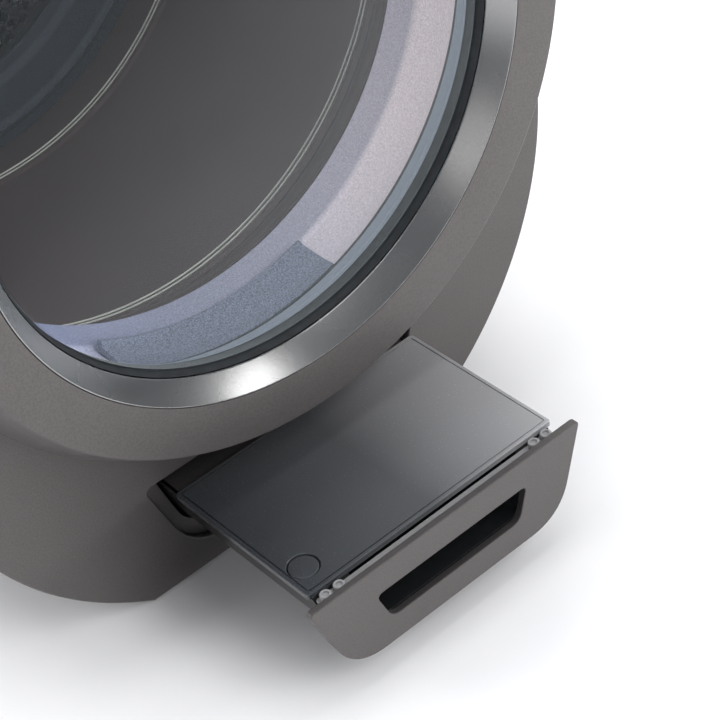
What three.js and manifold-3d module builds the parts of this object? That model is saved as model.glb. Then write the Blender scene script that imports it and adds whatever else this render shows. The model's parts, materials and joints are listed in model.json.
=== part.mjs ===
// A drum-shaped filament dryer: an arch-shaped cabinet with a round glass door, a turning drum
// with a honeycomb back, a fan, heater and drum drive behind and below the drum, and a moisture
// drawer that is pulled out at the foot of the front.
//
// Units are millimetres, +Z is up, and the front looks along -Y.
// While the pieces are made, Y = 0 is the cabinet's front face. The last lines shift the whole
// object so that its origin is the centre of the floor rectangle that it stands in.

import * as THREE from 'three';
import { mergeVertices } from 'three/addons/utils/BufferGeometryUtils.js';
import Module from 'manifold-3d';

const wasm = await Module();
wasm.setup();

// ---------------------------------------------------------------- driving dimensions

const CABINET_RADIUS = 150;        // half the width, and the radius of the arch
const CABINET_WALL = 3;
const CABINET_FLOOR_Z = 1.5;       // underside of the cabinet, just above the feet's soles
const DRUM_AXIS_Z = 212;           // height of the drum's and the door's axis
const BASE_CENTRE_Z = 130;         // centre of the round lower corners
const FRONT_COVER_DEPTH = 14;
const SHELL_BACK_Y = 250;
const REAR_COVER_BACK_Y = 268;
const SEAM = 0.3;                  // gap between two pieces that touch

const RING_SEGMENTS = 32;          // facets of the large round pieces
const SMALL_SEGMENTS = 12;         // facets of shafts, screws and buttons

const DOOR_RADIUS = 145.5;         // outside of the door, behind its bevel
const DOOR_FACE_RADIUS = 138;      // outside of the door's flat face, in front of its bevel
const DOOR_FRONT_Y = -32.3;
const DOOR_BEVEL_Y = -17.9;
const DOOR_BACK_Y = -2.2;
const TRIM_OUTER_RADIUS = 117.5;   // where the bright inner chamfer meets the flat face
const TRIM_INNER_RADIUS = 110.5;
const TRIM_INNER_Y = -22.9;
const GLASS_RADIUS = 108.3;
const GLASS_FRONT_Y = -19.6;
const GLASS_THICKNESS = 4.4;
const HINGE_X = -145.5;
const HINGE_Y = -6;

const MOUTH_RADIUS = 120.4;        // inside of the static mouth ring
const MOUTH_BACK_Y = 36;
const MOUTH_HOLE_RADIUS = 122.2;   // hole in the front cover that the mouth ring stands in
const DRUM_RADIUS = 132;           // inside of the drum's wall
const DRUM_SHEET = 1.5;
const DRUM_FRONT_Y = 37.5;
const DRUM_SEAM_Y = 59.8;          // where the drum's front ring meets its wall
const DRUM_BACK_Y = 212;
const GRILLE_RADIUS = 99;

const BULKHEAD_Y = 219;
const BULKHEAD_THICKNESS = 2.5;
const AIR_BOX_FRONT_Y = BULKHEAD_Y + BULKHEAD_THICKNESS + SEAM;
const AIR_BOX_BACK_Y = 244;
const AIR_BOX_WALL = 2;
const PLENUM_INNER_RADIUS = 60;
const PLENUM_OUTER_RADIUS = 102;
const BLOWER = { x: -30, z: 42, radius: 30 };
const DUCT = { left: -62, right: -32 };
const PULLEY_FRONT_Y = 249;
const PULLEY_WIDTH = 8;
const DRUM_PULLEY_RADIUS = 48;
const MOTOR = { x: 62, z: 42, radius: 22 };
const MOTOR_PULLEY_RADIUS = 8;

const DRAWER_PULLED_OUT = 97;      // the drawer stands open by this much
const DRAWER_PANEL = { top: 54, bottom: 14, halfTop: 68.5, halfBottom: 54.1, thickness: 3.2 };
const DRAWER_SLOT_GAP = 1;         // open seam all round the panel when the drawer is shut
const GRIP = { halfTop: 38, halfBottom: 32.6, bottom: 26, top: 41 };
const SHOULDER_Z = 46;             // top of the tray in front of its lid
const TRAY = { top: 50.5, bottom: 24.5, halfTop: 59.5, halfBottom: 51.5, length: 121.5, wall: 2 };
const LID = { halfWidth: 61, front: 5.6, length: 80, bottom: 50.8, thickness: 2.6 };
const POCKET = { halfWidth: 41, lean: 5, top: 45, bottom: 24, depth: 19.5, wall: 2 };
const BAY = { halfTop: 62.2, halfBottom: 52.8, bottom: 23.4, top: 54, backY: 134 };

const POD = { y: 39, halfWidth: 46, halfDepth: 17, top: 368, wall: 2 };

// ---------------------------------------------------------------- materials

const finish = (color, roughness, metalness) => (
  new THREE.MeshStandardMaterial({ color, roughness, metalness })
);
const GUNMETAL = finish(0x6e6a69, 0.42, 0.35);
const BRIGHT_TRIM = finish(0x9a9998, 0.28, 0.85);
const RUBBER = finish(0x222526, 0.75, 0);
const CLEAR_GLASS = finish(0xb8c4c8, 0.05, 0);
const GREY_BLUE = finish(0x77818c, 0.5, 0.1);
const FROSTED = finish(0xd2cdd6, 0.6, 0.05);
const DRUM_METAL = finish(0x4c484c, 0.35, 0.6);
const DARK_PLASTIC = finish(0x26282b, 0.6, 0);
const SMOKY = finish(0x55585e, 0.15, 0);
const STEEL = finish(0xa8aaac, 0.35, 0.9);
const WHITE_PLASTIC = finish(0xd9d8d2, 0.55, 0);
const BOARD_GREEN = finish(0x1f5a3c, 0.6, 0);

// ---------------------------------------------------------------- solids and cuts

/** Welds shared corners, drops collapsed triangles and turns the faces outward. */
function weld(geometry) {
  const bare = geometry.clone();
  bare.deleteAttribute('normal');
  bare.deleteAttribute('uv');
  const merged = mergeVertices(bare, 1e-4);
  const index = Array.from(merged.index.array);
  const position = merged.attributes.position;
  const corners = [new THREE.Vector3(), new THREE.Vector3(), new THREE.Vector3()];
  const triangles = [];
  let volume = 0;
  for (let i = 0; i < index.length; i += 3) {
    const [a, b, c] = index.slice(i, i + 3);
    if (a === b || b === c || c === a) continue;
    triangles.push([a, b, c]);
    [a, b, c].forEach((vertex, k) => corners[k].fromBufferAttribute(position, vertex));
    volume += corners[0].dot(corners[1].clone().cross(corners[2]));
  }
  const outward = volume > 0 ? triangles : triangles.map(([a, b, c]) => [a, c, b]);
  merged.setIndex(outward.flat());
  return merged;
}

function toSolid(geometry) {
  const welded = weld(geometry);
  return new wasm.Manifold(new wasm.Mesh({
    numProp: 3,
    vertProperties: Float32Array.from(welded.attributes.position.array),
    triVerts: Uint32Array.from(welded.index.array),
  }));
}

function toGeometry(solid) {
  const { vertProperties, triVerts } = solid.getMesh();
  const geometry = new THREE.BufferGeometry();
  geometry.setAttribute('position', new THREE.BufferAttribute(Float32Array.from(vertProperties), 3));
  geometry.setIndex(Array.from(triVerts));
  return geometry;
}

function cut(body, ...tools) {
  return toGeometry(tools.reduce((solid, tool) => solid.subtract(toSolid(tool)), toSolid(body)));
}

function join(...bodies) {
  return toGeometry(bodies.slice(1).reduce((solid, body) => solid.add(toSolid(body)), toSolid(bodies[0])));
}

// ---------------------------------------------------------------- outlines and basic shapes

/** An outline drawn in X and Z, made into a plate from one Y to another. */
function slab(outline, frontY, backY, curveSegments = 4) {
  const options = { depth: backY - frontY, bevelEnabled: false, curveSegments };
  return new THREE.ExtrudeGeometry(outline, options).rotateX(Math.PI / 2).translate(0, backY, 0);
}

/** A closed profile of [radius, y] points turned about the Y axis. */
function turned(profile, segments = RING_SEGMENTS) {
  const points = [...profile, profile[0]].map(([radius, y]) => new THREE.Vector2(radius, y));
  return new THREE.LatheGeometry(points, segments);
}

/** A profile that starts and ends on the Y axis. */
function turnedDisc(profile, segments = RING_SEGMENTS) {
  return new THREE.LatheGeometry(profile.map(([radius, y]) => new THREE.Vector2(radius, y)), segments);
}

function block(minX, maxX, minY, maxY, minZ, maxZ) {
  return new THREE.BoxGeometry(maxX - minX, maxY - minY, maxZ - minZ)
    .translate((minX + maxX) / 2, (minY + maxY) / 2, (minZ + maxZ) / 2);
}

/** A round bar along Y. */
function barAlongY(x, z, radius, frontY, backY, segments = SMALL_SEGMENTS) {
  return new THREE.CylinderGeometry(radius, radius, backY - frontY, segments)
    .translate(x, (frontY + backY) / 2, z);
}

/** A round bar along Z. */
function barAlongZ(x, y, radius, bottom, top, segments = SMALL_SEGMENTS) {
  return new THREE.CylinderGeometry(radius, radius, top - bottom, segments)
    .rotateX(Math.PI / 2).translate(x, y, (bottom + top) / 2);
}

/** A polygon of [x, z, cornerRadius] points with its corners rounded. */
function roundedPolygon(corners) {
  const outline = new THREE.Shape();
  corners.forEach(([x, z, radius], i) => {
    const corner = new THREE.Vector2(x, z);
    const before = corners.at(i - 1);
    const after = corners[(i + 1) % corners.length];
    const toward = ([px, pz]) => new THREE.Vector2(px, pz).sub(corner).setLength(radius).add(corner);
    const start = toward(before);
    const end = toward(after);
    if (i === 0) outline.moveTo(start.x, start.y);
    else outline.lineTo(start.x, start.y);
    outline.quadraticCurveTo(corner.x, corner.y, end.x, end.y);
  });
  outline.closePath();
  return outline;
}

/** A symmetric trapezoid that is wider at the top. */
function trapezoid(halfTop, halfBottom, bottom, top, topRadius, bottomRadius) {
  return roundedPolygon([
    [-halfBottom, bottom, bottomRadius],
    [halfBottom, bottom, bottomRadius],
    [halfTop, top, topRadius],
    [-halfTop, top, topRadius],
  ]);
}

/** The cabinet's section: an arch on top, round lower corners, and a flat floor. */
function cabinetOutline(inset) {
  const radius = CABINET_RADIUS - inset;
  const drop = Math.asin((BASE_CENTRE_Z - CABINET_FLOOR_Z - inset) / radius);
  const outline = new THREE.Shape();
  outline.absarc(0, DRUM_AXIS_Z, radius, 0, Math.PI);
  outline.absarc(0, BASE_CENTRE_Z, radius, Math.PI, Math.PI + drop);
  outline.absarc(0, BASE_CENTRE_Z, radius, 2 * Math.PI - drop, 2 * Math.PI);
  return outline;
}

/** The cabinet's whole section, shrunk by an inset, from one Y to another. */
function cabinetSlab(inset, frontY, backY) {
  return slab(cabinetOutline(inset), frontY, backY, RING_SEGMENTS / 4);
}

/** A disc about the drum's axis, for cutting and joining in cabinet coordinates. */
function axialBar(radius, frontY, backY) {
  return barAlongY(0, DRUM_AXIS_Z, radius, frontY, backY, RING_SEGMENTS);
}

/** Part of a ring about the point (0, centreZ), between two angles. */
function ringSector(inner, outer, start, end, centreZ) {
  const outline = new THREE.Shape();
  outline.absarc(0, centreZ, outer, start, end);
  outline.absarc(0, centreZ, inner, end, start, true);
  return outline;
}

const panelOutline = (grow) => trapezoid(
  DRAWER_PANEL.halfTop + grow, DRAWER_PANEL.halfBottom + grow,
  DRAWER_PANEL.bottom - grow, DRAWER_PANEL.top + grow, 3 + grow, 16 + grow,
);

const degrees = (angle) => angle * Math.PI / 180;

// ---------------------------------------------------------------- the assembly

const machine = new THREE.Group();
const aboutDrumAxis = new THREE.Group();
aboutDrumAxis.position.z = DRUM_AXIS_Z;
machine.add(aboutDrumAxis);
const drawer = new THREE.Group();
drawer.position.y = -DRAWER_PULLED_OUT;
machine.add(drawer);

function piece(parent, name, geometry, material) {
  const mesh = new THREE.Mesh(weld(geometry), material);
  mesh.geometry.computeVertexNormals();
  mesh.name = name;
  parent.add(mesh);
  return mesh;
}

// ---------------------------------------------------------------- cabinet

const BASE_FEET = [[-58, 24], [58, 24], [-58, 236], [58, 236]];
const FOOT_STEM_RADIUS = 2.6;
const HARNESS_HOLE_RADIUS = 5;     // lets the wires of the controls through the cabinet's top
const VENTS = { rows: 7, lowest: 176, pitch: 12, halfWidth: 42, halfHeight: 2 };
const REAR_SCREWS = [[-104, 300], [104, 300], [-118, 100], [118, 100]];
const SCREW = { headRadius: 3, headHeight: 1.6, shankRadius: 1.5, shankLength: 9, holeRadius: 1.9 };
const INLET = { x: 95, z: 82, halfWidth: 14, halfHeight: 10.5, flange: 3, bodyFrontY: 246 };
const SOCKET = { halfWidth: 10, halfHeight: 6.5, bottomY: 254 };

function frontCover() {
  return cut(
    cabinetSlab(0, 0, FRONT_COVER_DEPTH),
    cabinetSlab(CABINET_WALL, CABINET_WALL, FRONT_COVER_DEPTH + 1),
    axialBar(MOUTH_HOLE_RADIUS, -1, CABINET_WALL + 1),
    slab(panelOutline(DRAWER_SLOT_GAP), -1, CABINET_WALL + 1),
  );
}

function cabinetShell() {
  const footHoles = BASE_FEET.map(([x, y]) => barAlongZ(x, y, FOOT_STEM_RADIUS + SEAM, 0, 6));
  const crown = DRUM_AXIS_Z + CABINET_RADIUS;
  return cut(
    cabinetSlab(0, FRONT_COVER_DEPTH + SEAM, SHELL_BACK_Y),
    cabinetSlab(CABINET_WALL, 0, SHELL_BACK_Y + 1),
    ...footHoles,
    barAlongZ(0, POD.y, HARNESS_HOLE_RADIUS, crown - 8, crown + 4),
  );
}

function ventOutline(z) {
  const { halfWidth, halfHeight } = VENTS;
  const round = halfHeight - 0.1;
  return roundedPolygon([
    [-halfWidth, z - halfHeight, round], [halfWidth, z - halfHeight, round],
    [halfWidth, z + halfHeight, round], [-halfWidth, z + halfHeight, round],
  ]);
}

function rearCover() {
  const inside = REAR_COVER_BACK_Y - CABINET_WALL;
  const vents = [];
  for (let row = 0; row < VENTS.rows; row += 1) {
    const z = VENTS.lowest + row * VENTS.pitch;
    vents.push(slab(ventOutline(z), inside - 1, REAR_COVER_BACK_Y + 1, 1));
  }
  const screwHoles = REAR_SCREWS.map(([x, z]) => (
    barAlongY(x, z, SCREW.holeRadius, inside - 1, REAR_COVER_BACK_Y + 1)
  ));
  const { x, z, halfWidth, halfHeight } = INLET;
  const inletHole = block(
    x - halfWidth - SEAM, x + halfWidth + SEAM, inside - 1, REAR_COVER_BACK_Y + 1,
    z - halfHeight - SEAM, z + halfHeight + SEAM,
  );
  return cut(
    cabinetSlab(0, SHELL_BACK_Y + SEAM, REAR_COVER_BACK_Y),
    cabinetSlab(CABINET_WALL, SHELL_BACK_Y, inside),
    inletHole, ...vents, ...screwHoles,
  );
}

function screw(x, z, headY) {
  return join(
    barAlongY(x, z, SCREW.headRadius, headY, headY + SCREW.headHeight),
    barAlongY(x, z, SCREW.shankRadius, headY - SCREW.shankLength, headY + 0.5),
  );
}

function foot() {
  const profile = [
    [0, 0], [8.4, 0], [9, 0.6], [9, 1.2], [FOOT_STEM_RADIUS, 1.2], [FOOT_STEM_RADIUS, 7], [0, 7],
  ];
  return turnedDisc(profile, SMALL_SEGMENTS).rotateX(Math.PI / 2);
}

piece(machine, 'front_cover', frontCover(), GUNMETAL);
piece(machine, 'cabinet_shell', cabinetShell(), GUNMETAL);
piece(machine, 'rear_cover', rearCover(), DARK_PLASTIC);
REAR_SCREWS.forEach(([x, z], i) => {
  piece(machine, `rear_screw_${i + 1}`, screw(x, z, REAR_COVER_BACK_Y + SEAM), STEEL);
});
BASE_FEET.forEach(([x, y], i) => {
  piece(machine, `foot_${i + 1}`, foot(), RUBBER).position.set(x, y, 0);
});

// ---------------------------------------------------------------- mouth of the chamber

const FILTER_MIDDLE = degrees(-96.5);     // where the filter lies round the sill, from +X
const FILTER_HALF_ANGLE = degrees(24.5);
const FILTER_WINDOW_HALF_ANGLE = degrees(20);
const FILTER_FRONT_Y = 8;
const FILTER_BACK_Y = 22.5;
const FILTER_CLEARANCE = 0.9;

function mouthRing() {
  const ring = turned([
    [118, 0.8], [119.6, 5.5], [MOUTH_RADIUS, 8], [MOUTH_RADIUS, 22.8], [119.2, 24.2], [115.4, MOUTH_BACK_Y],
    [117.6, MOUTH_BACK_Y], [121.4, 25.5], [122.6, 23.8], [122.6, 5.9],
    [140, 5.9], [140, 3.4], [121.6, 3.4], [121.6, 0.8],
  ]);
  const window = ringSector(
    MOUTH_RADIUS - 3, MOUTH_RADIUS + 5,
    FILTER_MIDDLE - FILTER_WINDOW_HALF_ANGLE, FILTER_MIDDLE + FILTER_WINDOW_HALF_ANGLE, 0,
  );
  return cut(ring, slab(window, 10.5, 20, 4));
}

/** A curved frame with a rolled back edge, lying in the sill of the mouth. */
function dustFilter() {
  const [start, end] = [FILTER_MIDDLE - FILTER_HALF_ANGLE, FILTER_MIDDLE + FILTER_HALF_ANGLE];
  const outer = MOUTH_RADIUS - FILTER_CLEARANCE;
  const frame = ringSector(outer - 2.6, outer, start, end, 0);
  const lip = ringSector(outer - 4.6, outer, start, end, 0);
  return join(slab(frame, FILTER_FRONT_Y, FILTER_BACK_Y, 4), slab(lip, FILTER_BACK_Y - 3, FILTER_BACK_Y, 4));
}

piece(aboutDrumAxis, 'mouth_ring', mouthRing(), FROSTED);
piece(aboutDrumAxis, 'dust_filter', dustFilter(), GREY_BLUE);
piece(aboutDrumAxis, 'drum_felt', turned([[119.4, 32.5], [123, 32.5], [123, 36.6], [119.4, 36.6]]), RUBBER);
piece(aboutDrumAxis, 'door_seal', turned([[116, -1.8], [121, -1.8], [121, 0.4], [117, 0.4]]), RUBBER);

// ---------------------------------------------------------------- door

const HINGE_KNUCKLE_RADIUS = 4;
const HINGE_PIN_RADIUS = 1.6;
const HINGE_HALF_HEIGHT = 18;
const DOOR_KNUCKLE_HALF_HEIGHT = 7.5;
const HINGE_SCREW_Z = 12;
const MAGNET_X = 130;

/** The room that the hinge's knuckles need in the door's edge. */
function hingeNotch() {
  const halfHeight = HINGE_HALF_HEIGHT + 2;
  return block(-CABINET_RADIUS, HINGE_X + 7.5, -12, 0, -halfHeight, halfHeight);
}

function doorRing() {
  const inner = TRIM_OUTER_RADIUS + SEAM;
  const ring = turned([
    [inner, DOOR_FRONT_Y], [DOOR_FACE_RADIUS, DOOR_FRONT_Y], [DOOR_RADIUS, DOOR_BEVEL_Y],
    [DOOR_RADIUS, DOOR_BACK_Y], [141.2, DOOR_BACK_Y], [141.2, -16.8],
    [135.5, -28.8], [121, -28.8], [121, -20.5], [inner, -20.5],
  ]);
  return cut(ring, hingeNotch());
}

function trimRing() {
  return turned([
    [TRIM_OUTER_RADIUS - 0.5, DOOR_FRONT_Y], [TRIM_OUTER_RADIUS, DOOR_FRONT_Y], [TRIM_OUTER_RADIUS, -21],
    [TRIM_INNER_RADIUS, -21], [TRIM_INNER_RADIUS, TRIM_INNER_Y],
  ]);
}

function glassGasket() {
  return turned([
    [110.2, -22.7], [GLASS_RADIUS + 0.5, GLASS_FRONT_Y], [GLASS_RADIUS + 0.5, -14],
    [113.5, -14], [113.5, -20.7], [110.2, -20.7],
  ]);
}

function doorGlass() {
  const back = GLASS_FRONT_Y + GLASS_THICKNESS;
  return turnedDisc([
    [0, GLASS_FRONT_Y], [GLASS_RADIUS - 1.4, GLASS_FRONT_Y], [GLASS_RADIUS, GLASS_FRONT_Y + 1.4],
    [GLASS_RADIUS, back], [0, back],
  ]);
}

function doorInnerRing() {
  const ring = turned([
    [109.2, -13.7], [115.4, DOOR_BACK_Y], [140.7, DOOR_BACK_Y], [140.7, -4.6], [117.6, -4.6], [113.4, -13.7],
  ]);
  return cut(ring, hingeNotch());
}

function doorHingeLeaf() {
  const arm = block(HINGE_X, -121, -7.4, -4.9, -DOOR_KNUCKLE_HALF_HEIGHT, DOOR_KNUCKLE_HALF_HEIGHT);
  const pad = block(-134, -121, -6.6, -4.9, -HINGE_HALF_HEIGHT, HINGE_HALF_HEIGHT);
  const knuckle = barAlongZ(
    HINGE_X, HINGE_Y, HINGE_KNUCKLE_RADIUS - 0.5, -DOOR_KNUCKLE_HALF_HEIGHT, DOOR_KNUCKLE_HALF_HEIGHT,
  );
  const bore = barAlongZ(HINGE_X, HINGE_Y, HINGE_PIN_RADIUS + 0.4, -20, 20);
  return cut(join(arm, pad, knuckle), bore);
}

function cabinetHingeLeaf() {
  const plate = block(-149, -125, -1.7, -0.3, -HINGE_HALF_HEIGHT, HINGE_HALF_HEIGHT);
  const knuckles = [-1, 1].map((side) => {
    const inner = side * (DOOR_KNUCKLE_HALF_HEIGHT + 0.5);
    const outer = side * HINGE_HALF_HEIGHT;
    const [bottom, top] = [Math.min(inner, outer), Math.max(inner, outer)];
    return join(
      barAlongZ(HINGE_X, HINGE_Y, HINGE_KNUCKLE_RADIUS - 0.5, bottom, top),
      block(HINGE_X - 3.1, HINGE_X + 3.1, HINGE_Y, -1, bottom, top),
    );
  });
  const bore = barAlongZ(HINGE_X, HINGE_Y, HINGE_PIN_RADIUS + 0.4, -20, 20);
  return cut(join(plate, ...knuckles), bore);
}

function hingePin() {
  const end = HINGE_HALF_HEIGHT + 0.8;
  const shaft = barAlongZ(HINGE_X, HINGE_Y, HINGE_PIN_RADIUS, -end, end);
  const head = barAlongZ(HINGE_X, HINGE_Y, HINGE_PIN_RADIUS + 1, end - 0.4, end + 0.8);
  return join(shaft, head);
}

piece(aboutDrumAxis, 'door_ring', doorRing(), GUNMETAL);
piece(aboutDrumAxis, 'door_trim_ring', trimRing(), BRIGHT_TRIM);
piece(aboutDrumAxis, 'glass_gasket', glassGasket(), RUBBER);
piece(aboutDrumAxis, 'door_glass', doorGlass(), CLEAR_GLASS);
piece(aboutDrumAxis, 'door_inner_ring', doorInnerRing(), GREY_BLUE);
piece(aboutDrumAxis, 'door_hinge_leaf', doorHingeLeaf(), STEEL);
piece(aboutDrumAxis, 'cabinet_hinge_leaf', cabinetHingeLeaf(), STEEL);
piece(aboutDrumAxis, 'hinge_pin', hingePin(), STEEL);
piece(aboutDrumAxis, 'door_magnet', block(MAGNET_X - 4, MAGNET_X + 4, -10, -4.9, -9, 9), STEEL);
piece(aboutDrumAxis, 'catch_plate', block(MAGNET_X - 5, MAGNET_X + 5, -1.5, -0.3, -11, 11), STEEL);

// ---------------------------------------------------------------- drum

/** Points of a small rolled bead on the inside of the drum's wall. */
function bead(y) {
  return [[DRUM_RADIUS, y - 1.5], [DRUM_RADIUS - 1.2, y], [DRUM_RADIUS, y + 1.5]];
}

/** The pressed ring that narrows the drum to the mouth. */
function drumFrontRing() {
  return turned([
    [116.6, DRUM_FRONT_Y], [118.4, 41.5], [124.5, 51], [DRUM_RADIUS, DRUM_SEAM_Y - SEAM],
    [DRUM_RADIUS + DRUM_SHEET, DRUM_SEAM_Y - SEAM], [126, 50], [120.5, 41], [118.6, DRUM_FRONT_Y],
  ]);
}

function drumShell() {
  const outer = DRUM_RADIUS + DRUM_SHEET;
  return turned([
    [DRUM_RADIUS, DRUM_SEAM_Y], ...bead(DRUM_SEAM_Y + 2), ...bead(186), [DRUM_RADIUS, DRUM_BACK_Y],
    [outer, DRUM_BACK_Y], [outer, DRUM_SEAM_Y],
  ]);
}

function drumBackPlate() {
  const edge = DRUM_RADIUS - 0.5;
  return turned([
    [96, DRUM_BACK_Y - 1], [101, DRUM_BACK_Y - 1], [104, 208.2], [120, 208.2], [123, 205.6], [126, 208.2],
    [edge, 208.2], [edge, 210], [126.4, 210], [123, 207.4], [119.6, 210],
    [104.8, 210], [101.8, DRUM_BACK_Y + 0.8], [96, DRUM_BACK_Y + 0.8],
  ]);
}

const GRILLE_RINGS = [[38, 8], [58, 12], [80, 16]];   // radius of each ring of holes, and their count
const GRILLE_HOLE_RADIUS = 8.5;

function drumGrille() {
  const plate = axialDisc(GRILLE_RADIUS, DRUM_BACK_Y + 1.1, DRUM_BACK_Y + 2.9);
  const holes = GRILLE_RINGS.flatMap(([radius, count]) => (
    Array.from({ length: count }, (_, i) => {
      const angle = 2 * Math.PI * i / count;
      const [x, z] = [radius * Math.cos(angle), radius * Math.sin(angle)];
      return barAlongY(x, z, GRILLE_HOLE_RADIUS, DRUM_BACK_Y, DRUM_BACK_Y + 4, 6);
    })
  ));
  return cut(plate, ...holes);
}

function axialDisc(radius, frontY, backY, segments = RING_SEGMENTS) {
  return turnedDisc([[0, frontY], [radius, frontY], [radius, backY], [0, backY]], segments);
}

const SPINDLE_RADIUS = 6;

function drumSpindle() {
  const flangeFront = DRUM_BACK_Y + 3.2;
  return turnedDisc([
    [0, flangeFront], [22, flangeFront], [22, flangeFront + 2], [SPINDLE_RADIUS, flangeFront + 2],
    [SPINDLE_RADIUS, PULLEY_FRONT_Y + PULLEY_WIDTH + 2], [0, PULLEY_FRONT_Y + PULLEY_WIDTH + 2],
  ], 20);
}

/** A belt pulley with a flange on each side of its rim, and a bore. */
function pulley(rimRadius, boreRadius, segments) {
  const back = PULLEY_FRONT_Y + PULLEY_WIDTH;
  const flange = rimRadius + 2.6;
  return turned([
    [boreRadius, PULLEY_FRONT_Y], [flange, PULLEY_FRONT_Y], [flange, PULLEY_FRONT_Y + 1.2],
    [rimRadius, PULLEY_FRONT_Y + 1.2], [rimRadius, back - 1.2], [flange, back - 1.2], [flange, back],
    [boreRadius, back],
  ], segments);
}

piece(aboutDrumAxis, 'drum_front_ring', drumFrontRing(), DRUM_METAL);
piece(aboutDrumAxis, 'drum_shell', drumShell(), DRUM_METAL);
piece(aboutDrumAxis, 'drum_back_plate', drumBackPlate(), DRUM_METAL);
piece(aboutDrumAxis, 'drum_grille', drumGrille(), DARK_PLASTIC);
piece(aboutDrumAxis, 'drum_spindle', drumSpindle(), STEEL);
piece(aboutDrumAxis, 'drum_pulley', pulley(DRUM_PULLEY_RADIUS, SPINDLE_RADIUS + SEAM, 32), DARK_PLASTIC);

// ---------------------------------------------------------------- bulkhead, air path and drive

const BEARING_OUTER_RADIUS = 12;
const BLOWER_INLET_RADIUS = 17;
const WINDOWS = { count: 6, inner: 66, outer: 94, halfAngle: degrees(24) };

function rearBulkhead() {
  const back = BULKHEAD_Y + BULKHEAD_THICKNESS;
  const { count, inner, outer, halfAngle } = WINDOWS;
  const windows = Array.from({ length: count }, (_, i) => {
    const middle = 2 * Math.PI * (i + 0.5) / count;
    const sector = ringSector(inner, outer, middle - halfAngle, middle + halfAngle, DRUM_AXIS_Z);
    return slab(sector, BULKHEAD_Y - 1, back + 1, 3);
  });
  return cut(
    cabinetSlab(CABINET_WALL + 0.5, BULKHEAD_Y, back),
    barAlongY(0, DRUM_AXIS_Z, BEARING_OUTER_RADIUS + SEAM, BULKHEAD_Y - 1, back + 1, 20),
    barAlongY(BLOWER.x, BLOWER.z, BLOWER_INLET_RADIUS, BULKHEAD_Y - 1, back + 1),
    ...windows,
  );
}

function drumBearing() {
  const inner = SPINDLE_RADIUS + 0.4;
  return turned([
    [inner, BULKHEAD_Y - 1], [BEARING_OUTER_RADIUS, BULKHEAD_Y - 1],
    [BEARING_OUTER_RADIUS, AIR_BOX_FRONT_Y], [16, AIR_BOX_FRONT_Y], [16, AIR_BOX_FRONT_Y + 7],
    [inner, AIR_BOX_FRONT_Y + 7],
  ], 20);
}

/** A ring-shaped channel behind the bulkhead that spreads the hot air over its windows. */
function airPlenum() {
  const wall = AIR_BOX_WALL;
  const channel = turned([
    [PLENUM_INNER_RADIUS, AIR_BOX_FRONT_Y], [PLENUM_INNER_RADIUS, AIR_BOX_BACK_Y],
    [PLENUM_OUTER_RADIUS, AIR_BOX_BACK_Y], [PLENUM_OUTER_RADIUS, AIR_BOX_FRONT_Y],
    [PLENUM_OUTER_RADIUS - wall, AIR_BOX_FRONT_Y], [PLENUM_OUTER_RADIUS - wall, AIR_BOX_BACK_Y - wall],
    [PLENUM_INNER_RADIUS + wall, AIR_BOX_BACK_Y - wall], [PLENUM_INNER_RADIUS + wall, AIR_BOX_FRONT_Y],
  ]);
  const inlet = block(
    DUCT.left + 3, DUCT.right - 3, AIR_BOX_FRONT_Y + 3, AIR_BOX_BACK_Y - 3, -PLENUM_OUTER_RADIUS - 2, -72,
  );
  return cut(channel, inlet);
}

function heaterDuct() {
  const bottom = 76.2;
  const top = 140;
  const wall = AIR_BOX_WALL;
  return cut(
    block(DUCT.left, DUCT.right, AIR_BOX_FRONT_Y, AIR_BOX_BACK_Y, bottom, top),
    block(
      DUCT.left + wall, DUCT.right - wall, AIR_BOX_FRONT_Y + wall, AIR_BOX_BACK_Y - wall,
      bottom - 1, top + 1,
    ),
    axialBar(PLENUM_OUTER_RADIUS + 0.5, AIR_BOX_FRONT_Y - 1, AIR_BOX_BACK_Y + 1),
  );
}

const HEATER = { bottom: 84, top: 104, finPitch: 4.6, finThickness: 1.6 };

function ptcHeater() {
  const { bottom, top, finPitch, finThickness } = HEATER;
  const gap = AIR_BOX_WALL + 0.5;
  const front = AIR_BOX_FRONT_Y + gap;
  const back = AIR_BOX_BACK_Y - gap;
  const spine = block(DUCT.left + gap, DUCT.right - gap, front, front + 3, bottom, top);
  const fins = [];
  for (let x = DUCT.left + gap; x < DUCT.right - gap; x += finPitch) {
    fins.push(block(x, x + finThickness, front + 1, back, bottom, top));
  }
  return join(spine, ...fins);
}

function blowerHousing() {
  const wall = AIR_BOX_WALL;
  const outletTop = 75.9;
  const { x, z, radius } = BLOWER;
  const outletBottom = z + 4;
  const outside = join(
    barAlongY(x, z, radius, AIR_BOX_FRONT_Y, AIR_BOX_BACK_Y, 24),
    block(DUCT.left, DUCT.right, AIR_BOX_FRONT_Y, AIR_BOX_BACK_Y, outletBottom, outletTop),
  );
  return cut(
    outside,
    barAlongY(x, z, radius - wall, AIR_BOX_FRONT_Y + wall, AIR_BOX_BACK_Y - wall, 24),
    block(
      DUCT.left + wall, DUCT.right - wall, AIR_BOX_FRONT_Y + wall, AIR_BOX_BACK_Y - wall,
      outletBottom + wall, outletTop + 1,
    ),
    barAlongY(x, z, BLOWER_INLET_RADIUS, AIR_BOX_FRONT_Y - 1, AIR_BOX_FRONT_Y + wall + 1),
    barAlongY(x, z, 3.4, AIR_BOX_BACK_Y - wall - 1, AIR_BOX_BACK_Y + 1),
  );
}

const IMPELLER = { radius: 25, front: AIR_BOX_FRONT_Y + 4, back: AIR_BOX_BACK_Y - 4, blades: 9 };

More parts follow.
